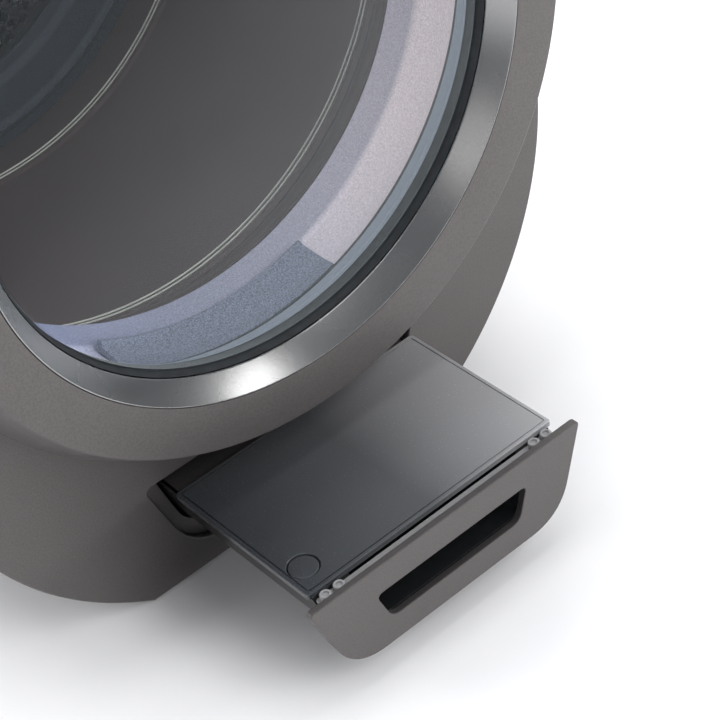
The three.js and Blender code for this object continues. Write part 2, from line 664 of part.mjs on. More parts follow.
function blowerImpeller() {
  const { radius, front, back, blades } = IMPELLER;
  const disc = turnedDisc([
    [0, back - 5], [7, back - 4], [8, back - 1.5], [radius, back - 1.5], [radius, back], [2.4, back],
    [2.4, AIR_BOX_BACK_Y + 0.2], [0, AIR_BOX_BACK_Y + 0.2],
  ], 24);
  const rim = turned([
    [radius - 2, front], [radius, front], [radius, front + 1.5], [radius - 2, front + 1.5],
  ], 24);
  const bladeSet = Array.from({ length: blades }, (_, i) => (
    block(radius - 7, radius - 0.5, front + 0.5, back - 1, -0.5, 0.5)
      .rotateY(2 * Math.PI * i / blades)
  ));
  return join(disc, rim, ...bladeSet);
}

function blowerMotor() {
  const front = AIR_BOX_BACK_Y + 0.5;
  return turnedDisc([
    [0, front], [13, front], [14, front + 1], [14, front + 12], [12, front + 14], [0, front + 14],
  ], 20);
}

function drumMotor() {
  const front = AIR_BOX_FRONT_Y;
  return turnedDisc([
    [0, front], [20, front], [MOTOR.radius, front + 2], [MOTOR.radius, 243], [8, 243], [8, 245.5], [0, 245.5],
  ], 24);
}

function motorPulley() {
  const shaft = axialDisc(3, 246, PULLEY_FRONT_Y + PULLEY_WIDTH + 1, 12);
  return join(pulley(MOTOR_PULLEY_RADIUS, 2.5, 20), shaft);
}

/** The outline of a belt round both pulleys, standing off their rims by the given distance. */
function beltLoop(standOff) {
  const big = { x: 0, z: DRUM_AXIS_Z, r: DRUM_PULLEY_RADIUS + standOff };
  const small = { x: MOTOR.x, z: MOTOR.z, r: MOTOR_PULLEY_RADIUS + standOff };
  const toSmall = Math.atan2(small.z - big.z, small.x - big.x);
  const reach = Math.hypot(small.x - big.x, small.z - big.z);
  const lean = Math.acos((big.r - small.r) / reach);
  const loop = new THREE.Shape();
  loop.absarc(big.x, big.z, big.r, toSmall + lean, toSmall - lean + 2 * Math.PI);
  loop.absarc(small.x, small.z, small.r, toSmall - lean, toSmall + lean);
  return loop;
}

function driveBelt() {
  const front = PULLEY_FRONT_Y + 1.8;
  const back = PULLEY_FRONT_Y + PULLEY_WIDTH - 1.8;
  return cut(slab(beltLoop(2), front, back, 12), slab(beltLoop(0.5), front - 1, back + 1, 12));
}

piece(machine, 'rear_bulkhead', rearBulkhead(), STEEL);
piece(aboutDrumAxis, 'drum_bearing', drumBearing(), STEEL);
piece(aboutDrumAxis, 'air_plenum', airPlenum(), DARK_PLASTIC);
piece(machine, 'heater_duct', heaterDuct(), DARK_PLASTIC);
piece(machine, 'ptc_heater', ptcHeater(), STEEL);
piece(machine, 'thermal_cutout', block(DUCT.right + SEAM, DUCT.right + 6, 227, 239, 84, 98), WHITE_PLASTIC);
piece(machine, 'blower_housing', blowerHousing(), DARK_PLASTIC);
piece(machine, 'blower_impeller', blowerImpeller(), WHITE_PLASTIC).position.set(BLOWER.x, 0, BLOWER.z);
piece(machine, 'blower_motor', blowerMotor(), STEEL).position.set(BLOWER.x, 0, BLOWER.z);
piece(machine, 'drum_motor', drumMotor(), STEEL).position.set(MOTOR.x, 0, MOTOR.z);
piece(machine, 'motor_pulley', motorPulley(), STEEL).position.set(MOTOR.x, 0, MOTOR.z);
piece(machine, 'drive_belt', driveBelt(), RUBBER);

// ---------------------------------------------------------------- electrics

function powerInlet() {
  const { x, z, halfWidth, halfHeight, bodyFrontY } = INLET;
  const body = block(
    x - halfWidth, x + halfWidth, bodyFrontY, REAR_COVER_BACK_Y + 1, z - halfHeight, z + halfHeight,
  );
  const flange = block(
    x - halfWidth - INLET.flange, x + halfWidth + INLET.flange,
    REAR_COVER_BACK_Y + SEAM, REAR_COVER_BACK_Y + 2,
    z - halfHeight - INLET.flange, z + halfHeight + INLET.flange,
  );
  const socket = block(
    x - SOCKET.halfWidth, x + SOCKET.halfWidth, SOCKET.bottomY, REAR_COVER_BACK_Y + 3,
    z - SOCKET.halfHeight, z + SOCKET.halfHeight,
  );
  return cut(join(body, flange), socket);
}

/** A board on the cabinet's floor with its transformer, capacitor block and heat sink. */
function powerSupply() {
  const board = block(-72, -8, 150, 212, 8, 12);
  const transformer = block(-68, -44, 156, 178, 10, 38);
  const capacitors = block(-38, -14, 156, 186, 10, 30);
  const heatSink = block(-66, -20, 190, 206, 10, 24);
  return join(board, transformer, capacitors, heatSink);
}

/** The control board with its processor, relay and row of plugs. */
function mainBoard() {
  const board = block(12, 76, 150, 212, 8, 10);
  const processor = block(18, 38, 158, 178, 9, 13);
  const relay = block(46, 70, 156, 170, 9, 22);
  const plugs = block(20, 70, 188, 204, 9, 18);
  return join(board, processor, relay, plugs);
}

piece(machine, 'power_inlet', powerInlet(), DARK_PLASTIC);
piece(machine, 'power_supply', powerSupply(), BOARD_GREEN);
piece(machine, 'main_board', mainBoard(), BOARD_GREEN);

// ---------------------------------------------------------------- control pod on top

const KNOB = { x: 29, radius: 11.5, height: 9 };
const BUTTONS = [['power_button', -36, -6.5], ['light_button', -36, 6.5]];
const BUTTON_RADIUS = 4;
const DISPLAY = { left: -26, right: 12, halfDepth: 10 };

function controlPod() {
  const { y, halfWidth, halfDepth, top, wall } = POD;
  const outline = (inset) => {
    const [x, d, r] = [halfWidth - inset, halfDepth - inset, 12 - inset];
    return roundedPolygon([[-x, -d, r], [x, -d, r], [x, d, r], [-x, d, r]]);
  };
  const upright = (shape, bottom, height) => (
    new THREE.ExtrudeGeometry(shape, { depth: height, bevelEnabled: false, curveSegments: 4 })
      .translate(0, y, bottom)
  );
  const buried = 340;   // well below the arch, which trims the pod's underside
  return cut(
    upright(outline(0), buried, top - buried),
    cabinetSlab(-SEAM, y - 30, y + 30),
    cut(upright(outline(wall), buried, top - wall - buried), cabinetSlab(-0.6, y - 30, y + 30)),
    block(DISPLAY.left, DISPLAY.right, y - DISPLAY.halfDepth, y + DISPLAY.halfDepth, top - 1.2, top + 1),
    barAlongZ(KNOB.x, y, 3, top - 6, top + 1),
    ...BUTTONS.map(([, x, offset]) => barAlongZ(x, y + offset, BUTTON_RADIUS + 0.4, top - 6, top + 1)),
  );
}

function displayLens() {
  const { left, right, halfDepth } = DISPLAY;
  return block(
    left + SEAM, right - SEAM, POD.y - halfDepth + SEAM, POD.y + halfDepth - SEAM,
    POD.top - 0.9, POD.top + 0.2,
  );
}

function button() {
  const top = POD.top + 2;
  return join(
    barAlongZ(0, 0, BUTTON_RADIUS, POD.top - 3, top, 20),
    barAlongZ(0, 0, BUTTON_RADIUS + 1, POD.top - 3.4, POD.top - 2.4, 20),
  );
}

function controlKnob() {
  const bottom = POD.top + 0.5;
  return join(
    turnedDisc([
      [0, bottom], [KNOB.radius, bottom], [KNOB.radius, bottom + KNOB.height - 1.5],
      [KNOB.radius - 1.5, bottom + KNOB.height], [0, bottom + KNOB.height],
    ], 24).rotateX(Math.PI / 2),
    barAlongZ(0, 0, 2.6, POD.top - 3.4, bottom + 1, 12),
  );
}

piece(machine, 'control_pod', controlPod(), DARK_PLASTIC);
piece(machine, 'display_lens', displayLens(), CLEAR_GLASS);
piece(machine, 'control_knob', controlKnob(), BRIGHT_TRIM).position.set(KNOB.x, POD.y, 0);
BUTTONS.forEach(([name, x, offset]) => {
  piece(machine, name, button(), GUNMETAL).position.set(x, POD.y + offset, 0);
});

// ---------------------------------------------------------------- moisture drawer
// Inside this group Y = 0 is the front of the drawer's panel.

function drawerFront() {
  const grip = trapezoid(GRIP.halfTop, GRIP.halfBottom, GRIP.bottom, GRIP.top, 3.5, 4.5);
  return cut(
    slab(panelOutline(0), 0, DRAWER_PANEL.thickness, 5),
    slab(grip, -1, DRAWER_PANEL.thickness + 1, 4),
  );
}

/** The box behind the grip opening that the fingers reach into. */
function fingerPocket() {
  const { halfWidth, lean, top, bottom, depth, wall } = POCKET;
  const front = DRAWER_PANEL.thickness + SEAM;
  const outline = (inset) => trapezoid(
    halfWidth - inset, halfWidth - inset - lean, bottom + inset, top - inset, 3, 5,
  );
  return cut(
    slab(outline(0), front, front + depth),
    slab(outline(wall), front - 1, front + depth - wall),
  );
}

function drawerTray() {
  const { top, bottom, halfTop, halfBottom, length, wall } = TRAY;
  const front = DRAWER_PANEL.thickness + SEAM;
  const back = front + length;
  const pocketBack = front + POCKET.depth + SEAM;
  const lean = (halfTop - halfBottom) / (top - bottom);
  const above = 10;
  const inside = trapezoid(
    halfTop - wall + above * lean, halfBottom - wall + wall * lean, bottom + wall, top + above, 1, 8,
  );
  const lidFront = LID.front + DRAWER_PANEL.thickness;
  const notchHalf = POCKET.halfWidth + 1;
  const hollow = cut(
    slab(inside, lidFront + wall, back - wall),
    block(-notchHalf - wall, notchHalf + wall, 0, pocketBack + wall, 0, top + 20),
  );
  return cut(
    slab(trapezoid(halfTop, halfBottom, bottom, top, 0.5, 9), front, back),
    hollow,
    block(-notchHalf, notchHalf, front - 1, pocketBack, 0, top + 10),
    block(-halfTop - 1, halfTop + 1, front - 1, lidFront, SHOULDER_Z, top + 1),
  );
}

const CAP = { x: -52.3, y: 21.9, radius: 5.9, plugRadius: 3, plugBottom: 47 };

function drawerLid() {
  const front = DRAWER_PANEL.thickness + LID.front;
  const plate = block(
    -LID.halfWidth, LID.halfWidth, front, front + LID.length, LID.bottom, LID.bottom + LID.thickness,
  );
  const seat = barAlongZ(
    CAP.x, CAP.y, CAP.radius + 0.4, LID.bottom - 1, LID.bottom + LID.thickness + 1, 20,
  );
  return cut(plate, seat);
}

function fillCap() {
  const top = LID.bottom + LID.thickness - 0.4;
  return join(
    barAlongZ(CAP.x, CAP.y, CAP.radius, LID.bottom, top, 20),
    barAlongZ(CAP.x, CAP.y, CAP.plugRadius, CAP.plugBottom, LID.bottom + 0.5, 16),
  );
}

/** The channel in the cabinet that the drawer runs in, with a flange behind the front cover. */
function drawerBay() {
  const { halfTop, halfBottom, bottom, top, backY } = BAY;
  const flangeFront = CABINET_WALL + 0.5;
  const inside = trapezoid(halfTop, halfBottom, bottom, top, 1, 9.5);
  const outside = trapezoid(halfTop + 3.3, halfBottom + 2.2, bottom - 3.4, top + 2, 3, 10);
  const wireWindow = trapezoid(30, 30, 28, 50, 2, 2);
  return cut(
    join(slab(panelOutline(4), flangeFront, flangeFront + 2), slab(outside, flangeFront, backY)),
    slab(inside, 0, backY - 2),
    slab(wireWindow, backY - 3, backY + 1),
  );
}

piece(drawer, 'drawer_front', drawerFront(), GUNMETAL);
piece(drawer, 'finger_pocket', fingerPocket(), DARK_PLASTIC);
piece(drawer, 'drawer_tray', drawerTray(), SMOKY);
piece(drawer, 'drawer_lid', drawerLid(), SMOKY);
piece(drawer, 'fill_cap', fillCap(), SMOKY);
piece(machine, 'drawer_bay', drawerBay(), DARK_PLASTIC);

// ---------------------------------------------------------------- origin

const lowestY = -DRAWER_PULLED_OUT;
const highestY = REAR_COVER_BACK_Y + 2;
machine.position.y = -(lowestY + highestY) / 2;

export default machine;
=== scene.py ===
"""Filament dryer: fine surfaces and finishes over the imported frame.

Depths are millimetres from the cabinet's front face (positive into the cabinet), heights are
millimetres above the floor, and radii are millimetres from the drum's axis unless a comment
says otherwise. The lamps and the camera are placed in metres, and so is FACE_Y.
"""
import json
import math

import bmesh
import bpy
from mathutils import Matrix, Vector


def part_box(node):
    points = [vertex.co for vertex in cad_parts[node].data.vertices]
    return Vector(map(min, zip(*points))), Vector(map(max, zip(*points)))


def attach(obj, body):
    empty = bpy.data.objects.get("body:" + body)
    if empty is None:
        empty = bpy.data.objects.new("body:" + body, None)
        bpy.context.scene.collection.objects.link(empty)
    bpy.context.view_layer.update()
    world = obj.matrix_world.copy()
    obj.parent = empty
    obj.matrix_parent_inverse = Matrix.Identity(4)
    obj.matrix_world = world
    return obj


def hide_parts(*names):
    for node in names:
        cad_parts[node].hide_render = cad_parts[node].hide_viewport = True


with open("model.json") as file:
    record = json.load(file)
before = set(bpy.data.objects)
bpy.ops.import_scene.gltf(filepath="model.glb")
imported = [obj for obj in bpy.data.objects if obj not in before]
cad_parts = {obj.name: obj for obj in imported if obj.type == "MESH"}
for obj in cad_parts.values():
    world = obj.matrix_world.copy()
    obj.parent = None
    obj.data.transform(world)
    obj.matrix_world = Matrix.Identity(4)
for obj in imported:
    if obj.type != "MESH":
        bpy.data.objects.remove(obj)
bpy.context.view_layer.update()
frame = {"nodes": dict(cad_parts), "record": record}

RECORD = frame["record"]
MM = 0.001


def box_mm(node):
    """A node's lowest and highest corner as (x, depth, height)."""
    return [
        Vector((corner.x, corner.y - FACE_Y, corner.z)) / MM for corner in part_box(node)
    ]


FACE_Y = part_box("front_cover")[0].y
AXIS_Z = sum(corner.z for corner in box_mm("door_ring")) / 2
HALF_WIDTH = box_mm("cabinet_shell")[1].x
FLOOR_Z = box_mm("cabinet_shell")[0].z
SHELL_BACK = box_mm("cabinet_shell")[1].y
REAR_BACK = box_mm("rear_cover")[1].y
BASE_CENTRE_Z = 130   # centre of the round lower corners
COVER_DEPTH = 14      # where the front cover meets the cabinet's shell
WALL = 3              # thickness of the covers and the shell
SEAM = 0.3            # gap between neighbouring covers
PLATE_ANGLE = 10      # keeps a plate's flat face flat where it meets its rounded edge


def seen_from_above(node):
    """The middle of a node as (x, depth, 0), for a solid turned about a vertical line."""
    low, high = box_mm(node)
    return (low.x + high.x) / 2, (low.y + high.y) / 2, 0


def seen_from_front(node):
    """The middle of a node as (x, height)."""
    low, high = box_mm(node)
    return (low.x + high.x) / 2, (low.z + high.z) / 2


# ---------------------------------------------------------------- outlines


def arc(centre, radius, start, end, steps):
    """Points of an arc about (x, z), its angles in degrees from +X."""
    turn = [math.radians(start + (end - start) * i / steps) for i in range(steps + 1)]
    return [(centre[0] + radius * math.cos(a), centre[1] + radius * math.sin(a)) for a in turn]


def circle(centre, radius, steps):
    """A full circle as a closed outline."""
    return arc(centre, radius, 0, 360, steps)[:-1]


def rounded(corners, radius=0.5, steps=5):
    """A closed outline with rounded corners, each of which may give its own radius as a third value."""
    outline = []
    for i, corner in enumerate(corners):
        here = Vector(corner[:2])
        before = Vector(corners[i - 1][:2])
        after = Vector(corners[(i + 1) % len(corners)][:2])
        reach = corner[2] if len(corner) > 2 else radius
        if reach == 0:
            outline.append(tuple(here))
            continue
        start = here + (before - here).normalized() * min(reach, (before - here).length * 0.48)
        end = here + (after - here).normalized() * min(reach, (after - here).length * 0.48)
        for k in range(steps + 1):
            t = k / steps
            outline.append(tuple(start * (1 - t) ** 2 + here * 2 * t * (1 - t) + end * t**2))
    return outline


def trapezoid(half_top, half_bottom, bottom, top, top_radius, bottom_radius):
    """The drawer's symmetric shape, with one radius for its upper and one for its lower corners."""
    corners = [
        (-half_bottom, bottom, bottom_radius),
        (half_bottom, bottom, bottom_radius),
        (half_top, top, top_radius),
        (-half_top, top, top_radius),
    ]
    return rounded(corners, steps=14)


def rectangle(min_x, max_x, min_z, max_z, radius):
    """A rectangle with round corners. For a level plate its second pair holds depths."""
    corners = [(min_x, min_z), (max_x, min_z), (max_x, max_z), (min_x, max_z)]
    return rounded(corners, radius, 8)


def panel_outline(grow):
    """The drawer panel's outline, and the same one grown for the slot that it closes."""
    low, high = box_mm("drawer_front")
    return trapezoid(
        high.x + grow, high.x - 14.4 + grow, low.z - grow, high.z + grow, 3 + grow, 16 + grow
    )


def cabinet_outline(inset):
    """An arch on top, round lower corners and a flat floor."""
    radius = HALF_WIDTH - inset
    drop = math.degrees(math.asin((BASE_CENTRE_Z - FLOOR_Z - inset) / radius))
    return (
        arc((0, AXIS_Z), radius, 0, 180, 120)
        + arc((0, BASE_CENTRE_Z), radius, 180, 180 + drop, 40)
        + arc((0, BASE_CENTRE_Z), radius, 360 - drop, 360, 40)
    )


# ---------------------------------------------------------------- solids


def turned(profile, start=0, end=360, steps=192, centre=(0, 0, AXIS_Z), upright=False):
    """A closed [radius, depth] profile turned about the drum's axis, or about another centre.

    An upright one is turned about a vertical line, and its profile holds heights.
    """
    solid = bmesh.new()
    whole = end - start >= 360
    middle = Vector(centre)
    rings = []
    for i in range(steps if whole else steps + 1):
        angle = math.radians(start + (end - start) * i / steps)
        ring = []
        for radius, along in profile:
            across = radius * math.cos(angle), radius * math.sin(angle)
            offset = (*across, along) if upright else (across[0], along, across[1])
            place = middle + Vector(offset)
            ring.append(solid.verts.new((place.x * MM, FACE_Y + place.y * MM, place.z * MM)))
        rings.append(ring)
    for i in range(steps):
        near, far = rings[i], rings[(i + 1) % len(rings)]
        for k in range(len(profile)):
            n = (k + 1) % len(profile)
            solid.faces.new((near[k], near[n], far[n], far[k]))
    if not whole:
        solid.faces.new(rings[0])
        solid.faces.new(reversed(rings[-1]))
    return tidied(solid)


def tidied(solid):
    """Joins corners that coincide, drops collapsed faces and turns the rest outward."""
    bmesh.ops.remove_doubles(solid, verts=solid.verts, dist=1e-7)
    bmesh.ops.dissolve_degenerate(solid, edges=solid.edges, dist=1e-8)
    bmesh.ops.recalc_face_normals(solid, faces=solid.faces)
    return solid


def plate(outlines, front, back, edge, level=False):
    """A plate in X and Z with rounded edges: the first outline bounds it, the others are holes.

    A level plate lies in X and depth instead, and front and back are its bottom and top.
    """
    curve = bpy.data.curves.new("outline", "CURVE")
    curve.dimensions = "2D"
    curve.fill_mode = "BOTH"
    curve.extrude = ((back - front) / 2 - edge) * MM
    curve.bevel_depth = edge * MM
    curve.bevel_resolution = 3
    curve.offset = -edge * MM
    for outline in outlines:
        spline = curve.splines.new("POLY")
        spline.points.add(len(outline) - 1)
        for point, (x, y) in zip(spline.points, outline):
            point.co = (x * MM, y * MM, 0, 1)
        spline.use_cyclic_u = True
    holder = bpy.data.objects.new("outline", curve)
    bpy.context.scene.collection.objects.link(holder)
    shaped = holder.evaluated_get(bpy.context.evaluated_depsgraph_get())
    mesh = bpy.data.meshes.new_from_object(shaped)
    middle = (front + back) / 2 * MM
    if level:
        mesh.transform(Matrix.Translation((0, FACE_Y, middle)))
    else:
        upright = Matrix.Rotation(math.radians(90), 4, "X")
        mesh.transform(Matrix.Translation((0, FACE_Y + middle, 0)) @ upright)
    solid = bmesh.new()
    solid.from_mesh(mesh)
    bpy.data.objects.remove(holder)
    bpy.data.curves.remove(curve)
    bpy.data.meshes.remove(mesh)
    return tidied(solid)


def merged(*solids):
    """One bmesh that holds several closed bodies."""
    whole = bmesh.new()
    for solid in solids:
        mesh = bpy.data.meshes.new("part")
        solid.to_mesh(mesh)
        solid.free()
        whole.from_mesh(mesh)
        bpy.data.meshes.remove(mesh)
    return whole


def softened(node, width, angle=40):
    """A copy of a CAD node's solid with its sharp edges rounded off."""
    solid = bmesh.new()
    solid.from_mesh(frame["nodes"][node].data)
    bmesh.ops.remove_doubles(solid, verts=solid.verts, dist=1e-6)
    bmesh.ops.dissolve_limit(
        solid, angle_limit=math.radians(1), verts=solid.verts, edges=solid.edges
    )
    sharp = [
        edge for edge in solid.edges
        if len(edge.link_faces) == 2 and edge.calc_face_angle() > math.radians(angle)
    ]
    bmesh.ops.bevel(
        solid, geom=sharp, offset=width * MM, segments=3, profile=0.6,
        affect="EDGES", clamp_overlap=True,
    )
    return tidied(solid)


def carved(solid, *cutters):
    """Takes the cutters out of a solid."""
    body = as_object("body", solid)
    tools = [as_object("cutter", cutter) for cutter in cutters]
    for tool in tools:
        step = body.modifiers.new("cut", "BOOLEAN")
        step.operation = "DIFFERENCE"
        step.solver = "EXACT"
        step.object = tool
    shaped = body.evaluated_get(bpy.context.evaluated_depsgraph_get())
    mesh = bpy.data.meshes.new_from_object(shaped)
    result = bmesh.new()
    result.from_mesh(mesh)
    bpy.data.meshes.remove(mesh)
    for spent in [body, *tools]:
        bpy.data.objects.remove(spent)
    return result


def as_object(name, solid):
    """Turns a bmesh into a linked object and frees the bmesh."""
    mesh = bpy.data.meshes.new(name)
    solid.to_mesh(mesh)
    solid.free()
    made = bpy.data.objects.new(name, mesh)
    bpy.context.scene.collection.objects.link(made)
    return made


BODY_OF = {
    node: body for body, nodes in RECORD["behaviour"]["bodies"].items() for node in nodes
}
SLOT_OF = {entry["node"]: entry["material_slot"] for entry in RECORD["subparts"]}


def shaded(name, solid, material, smooth_angle=32):
    """An object with its material, shaded smooth except across edges sharper than the angle."""
    made = as_object(name, solid)
    made.data.materials.append(material)
    made.data.shade_smooth()
    made.data.set_sharp_from_angle(angle=math.radians(smooth_angle))
    return made


def piece(name, solid, material, *nodes, **shading):
    """A finished piece that stands for the named CAD nodes and rides on their body."""
    made = shaded(name, solid, material, **shading)
    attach(made, BODY_OF[nodes[0]])
    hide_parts(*nodes)


def added(name, solid, material, node):
    """A fine detail with a finish of its own that belongs to a CAD node and moves with it."""
    detail = shaded(name, solid, material)
    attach(detail, BODY_OF[node])


# ---------------------------------------------------------------- materials


class Finish:
    """A node material that starts with a Principled shader and object coordinates."""

    def __init__(self, name, colour, roughness, metallic=0.0):
        self.material = bpy.data.materials.new(name)
        self.material.use_nodes = True
        self.tree = self.material.node_tree
        self.shader = self.tree.nodes["Principled BSDF"]
        self.shader.inputs["Base Color"].default_value = (*colour, 1)
        self.shader.inputs["Roughness"].default_value = roughness
        self.shader.inputs["Metallic"].default_value = metallic
        self.colour = colour
        self.roughness = roughness
        self.place = self.tree.nodes.new("ShaderNodeTexCoord").outputs["Object"]

    def link(self, source, target):
        """Joins an output socket to an input socket."""
        self.tree.links.new(source, target)

    def along(self, axis):
        """One of the object coordinates X, Y and Z, in metres."""
        node = self.tree.nodes.new("ShaderNodeSeparateXYZ")
        self.link(self.place, node.inputs["Vector"])
        return node.outputs[axis]

    def stretched(self, scale):
        """The coordinates scaled by a different amount along each axis."""
        mapping = self.tree.nodes.new("ShaderNodeMapping")
        mapping.inputs["Scale"].default_value = scale
        self.link(self.place, mapping.inputs["Vector"])
        return mapping.outputs["Vector"]

    def noise(self, scale, detail, vector=None):
        """Noise whose scale is in features per metre."""
        node = self.tree.nodes.new("ShaderNodeTexNoise")
        node.inputs["Scale"].default_value = scale
        node.inputs["Detail"].default_value = detail
        self.link(vector or self.place, node.inputs["Vector"])
        return node.outputs["Fac"]

    def spread(self, source, low, high, start=0.3, end=0.7):
        """Maps a value's middle range onto a new range."""
        node = self.tree.nodes.new("ShaderNodeMapRange")
        node.inputs["From Min"].default_value = start
        node.inputs["From Max"].default_value = end
        node.inputs["To Min"].default_value = low
        node.inputs["To Max"].default_value = high
        self.link(source, node.inputs["Value"])
        return node.outputs["Result"]

    def ramp(self, source, *stops):
        """Colours along a value: each stop is (position, colour)."""
        node = self.tree.nodes.new("ShaderNodeValToRGB")
        elements = node.color_ramp.elements
        elements[0].position, elements[1].position = stops[0][0], stops[-1][0]
        elements[0].color, elements[1].color = (*stops[0][1], 1), (*stops[-1][1], 1)
        for position, colour in stops[1:-1]:
            elements.new(position).color = (*colour, 1)
        self.link(source, node.inputs["Fac"])
        return node.outputs["Color"]

    def product(self, one, other):
        """Two colours multiplied. The mix node's sockets share names, so identifiers pick them."""
        node = self.tree.nodes.new("ShaderNodeMix")
        node.data_type = "RGBA"
        node.blend_type = "MULTIPLY"
        factor, left, right = (
            next(socket for socket in node.inputs if socket.identifier == name)
            for name in ("Factor_Float", "A_Color", "B_Color")
        )
        factor.default_value = 1
        self.link(one, left)
        self.link(other, right)
        return next(socket for socket in node.outputs if socket.identifier == "Result_Color")

    def vary_colour(self, scale, amount, detail=3.0, vector=None):
        """Lightens and darkens the base colour by the given share."""
        dark = [channel * (1 - amount) for channel in self.colour]
        light = [min(1, channel * (1 + amount)) for channel in self.colour]
        shade = self.ramp(self.noise(scale, detail, vector), (0.35, dark), (0.65, light))
        self.link(shade, self.shader.inputs["Base Color"])
        return self

    def vary_roughness(self, scale, amount):
        """Moves the roughness up and down by the given amount."""
        low, high = self.roughness - amount, self.roughness + amount
        self.link(self.spread(self.noise(scale, 2), low, high), self.shader.inputs["Roughness"])
        return self

    def bump(self, scale, height_mm, detail=2.0, vector=None):
        """A fine grain that bends the shading only."""
        node = self.tree.nodes.new("ShaderNodeBump")
        node.inputs["Strength"].default_value = 1
        node.inputs["Distance"].default_value = height_mm * MM
        self.link(self.noise(scale, detail, vector), node.inputs["Height"])
        self.link(node.outputs["Normal"], self.shader.inputs["Normal"])
        return self

    def coat(self, weight, roughness):
        """A clear layer over the base."""
        self.shader.inputs["Coat Weight"].default_value = weight
        self.shader.inputs["Coat Roughness"].default_value = roughness
        return self

    def seen_through(self, clearness, tint):
        """Mixes in plain transparency, tinted."""
        clear = self.tree.nodes.new("ShaderNodeBsdfTransparent")
        clear.inputs["Color"].default_value = (*tint, 1)
        mix = self.tree.nodes.new("ShaderNodeMixShader")
        mix.inputs["Fac"].default_value = clearness
        self.link(self.shader.outputs["BSDF"], mix.inputs[1])
        self.link(clear.outputs["BSDF"], mix.inputs[2])
        output = self.tree.nodes["Material Output"]
        self.link(mix.outputs["Shader"], output.inputs["Surface"])
        return self


def satin_coat():
    """Warm grey metallic lacquer with a very fine flake."""
    coat = Finish("satin_coat", (0.112, 0.1035, 0.102), 0.42, 0.62)
    coat.vary_colour(1400, 0.10)
    coat.vary_roughness(60, 0.03)
    return coat.bump(1800, 0.006).material


def bright_trim():
    """Turned satin metal."""
    trim = Finish("bright_trim", (0.36, 0.36, 0.357), 0.27, 1.0)
    trim.vary_colour(900, 0.03)
    return trim.vary_roughness(40, 0.02).material


def black_rubber():
    rubber = Finish("black_rubber", (0.014, 0.016, 0.018), 0.62)
    return rubber.vary_colour(300, 0.25).bump(1500, 0.02).material


def grey_liner():
    """Grey-blue satin plastic round the window."""
    liner = Finish("grey_liner", (0.25, 0.285, 0.34), 0.3)
    liner.vary_colour(500, 0.06)
    return liner.bump(1400, 0.008).material


MOUTH_STEP = 24.4   # depth at which the mouth ring steps inward


def frosted_liner():
    """Pale frosted plastic with painted light, lighter and rosy on the right and darker and lavender on
    the left, and painted shade behind its step.
    """
    liner = Finish("frosted_liner", (0.62, 0.56, 0.60), 0.55)
    # Painted light: the colour grows lighter and rosier from the ring's left to its right.
    across = liner.spread(liner.along("X"), 0, 1, -0.08, 0.09)
    shade = liner.ramp(
        across,
        (0.0, (0.50, 0.52, 0.70)), (0.5, (0.66, 0.64, 0.74)), (1.0, (0.94, 0.82, 0.85)),
    )
    # Painted shade: behind the ring's step the colour turns greyer and darker.
    step = FACE_Y + MOUTH_STEP * MM
    rear = liner.ramp(
        liner.spread(liner.along("Y"), 0, 1, step - 1 * MM, step + 1 * MM),
        (0.0, (0.92, 0.90, 0.91)), (1.0, (0.48, 0.50, 0.56)),
    )
    grain = liner.ramp(liner.noise(1500, 4), (0.3, (0.62, 0.62, 0.62)), (0.7, (1, 1, 1)))
    tinted = liner.product(shade, rear)
    liner.link(liner.product(tinted, grain), liner.shader.inputs["Base Color"])
    return liner.bump(2200, 0.05).material


def filter_felt():
    """Blue-grey speckled filter frame."""
    felt = Finish("filter_felt", (0.155, 0.172, 0.232), 0.6)
    felt.vary_colour(1500, 0.40, 4)
    return felt.bump(2200, 0.06).material


def drum_sheet():
    """Warm dark sheet with a satin coat, faintly clouded."""
    sheet = Finish("drum_sheet", (0.090, 0.065, 0.066), 0.45, 0.35)
    sheet.vary_colour(14, 0.10, 2)
    return sheet.bump(1500, 0.005).material


def speckled_plate():
    """The dark blue-grey, speckled pressing at the back of the drum."""
    sheet = Finish("speckled_plate", (0.050, 0.058, 0.075), 0.5, 0.3)
    sheet.vary_colour(2200, 0.45, 4)
    return sheet.bump(2000, 0.05).material


def fine_plastic():
    """Fine-grained black plastic."""
    plastic = Finish("fine_plastic", (0.020, 0.021, 0.023), 0.42)
    plastic.vary_colour(700, 0.18)
    return plastic.bump(1300, 0.03).material


def gloss_black():
    """The polished black moulding of the finger pocket."""
    plastic = Finish("gloss_black", (0.011, 0.012, 0.013), 0.16)
    plastic.vary_roughness(50, 0.03)
    return plastic.vary_colour(400, 0.12).material


def smoky_lid():
    """Smoky moulding with a painted reflection, dark at its left and paler at its right, that shows a
    little of the tray.
    """
    lid = Finish("smoky_lid", (0.075, 0.080, 0.087), 0.26, 0.2)
    half_width = 0.061   # of the lid, in metres
    across = lid.spread(lid.along("X"), 0, 1, -half_width, half_width)
    # Painted reflection: the colour runs from dark at the lid's left to pale at its right.
    shade = lid.ramp(
        across,
        (0.0, (0.050, 0.055, 0.062)), (0.5, (0.115, 0.118, 0.125)), (1.0, (0.46, 0.46, 0.47)),
    )
    lid.link(shade, lid.shader.inputs["Base Color"])
    lid.vary_roughness(1200, 0.015)
    return lid.coat(0.5, 0.12).seen_through(0.10, (0.55, 0.56, 0.60)).material


def tray_plastic():
    """Dark tray moulding that lets a little light through."""
    tray = Finish("tray_plastic", (0.024, 0.022, 0.022), 0.3)
    tray.vary_colour(450, 0.10)
    return tray.bump(900, 0.01).seen_through(0.12, (0.6, 0.55, 0.52)).material


def clear_plastic():
    """Clear bosses at the tray's front corners."""
    clear = Finish("clear_plastic", (0.42, 0.42, 0.43), 0.12)
    return clear.vary_colour(500, 0.06).seen_through(0.35, (0.93, 0.91, 0.90)).material


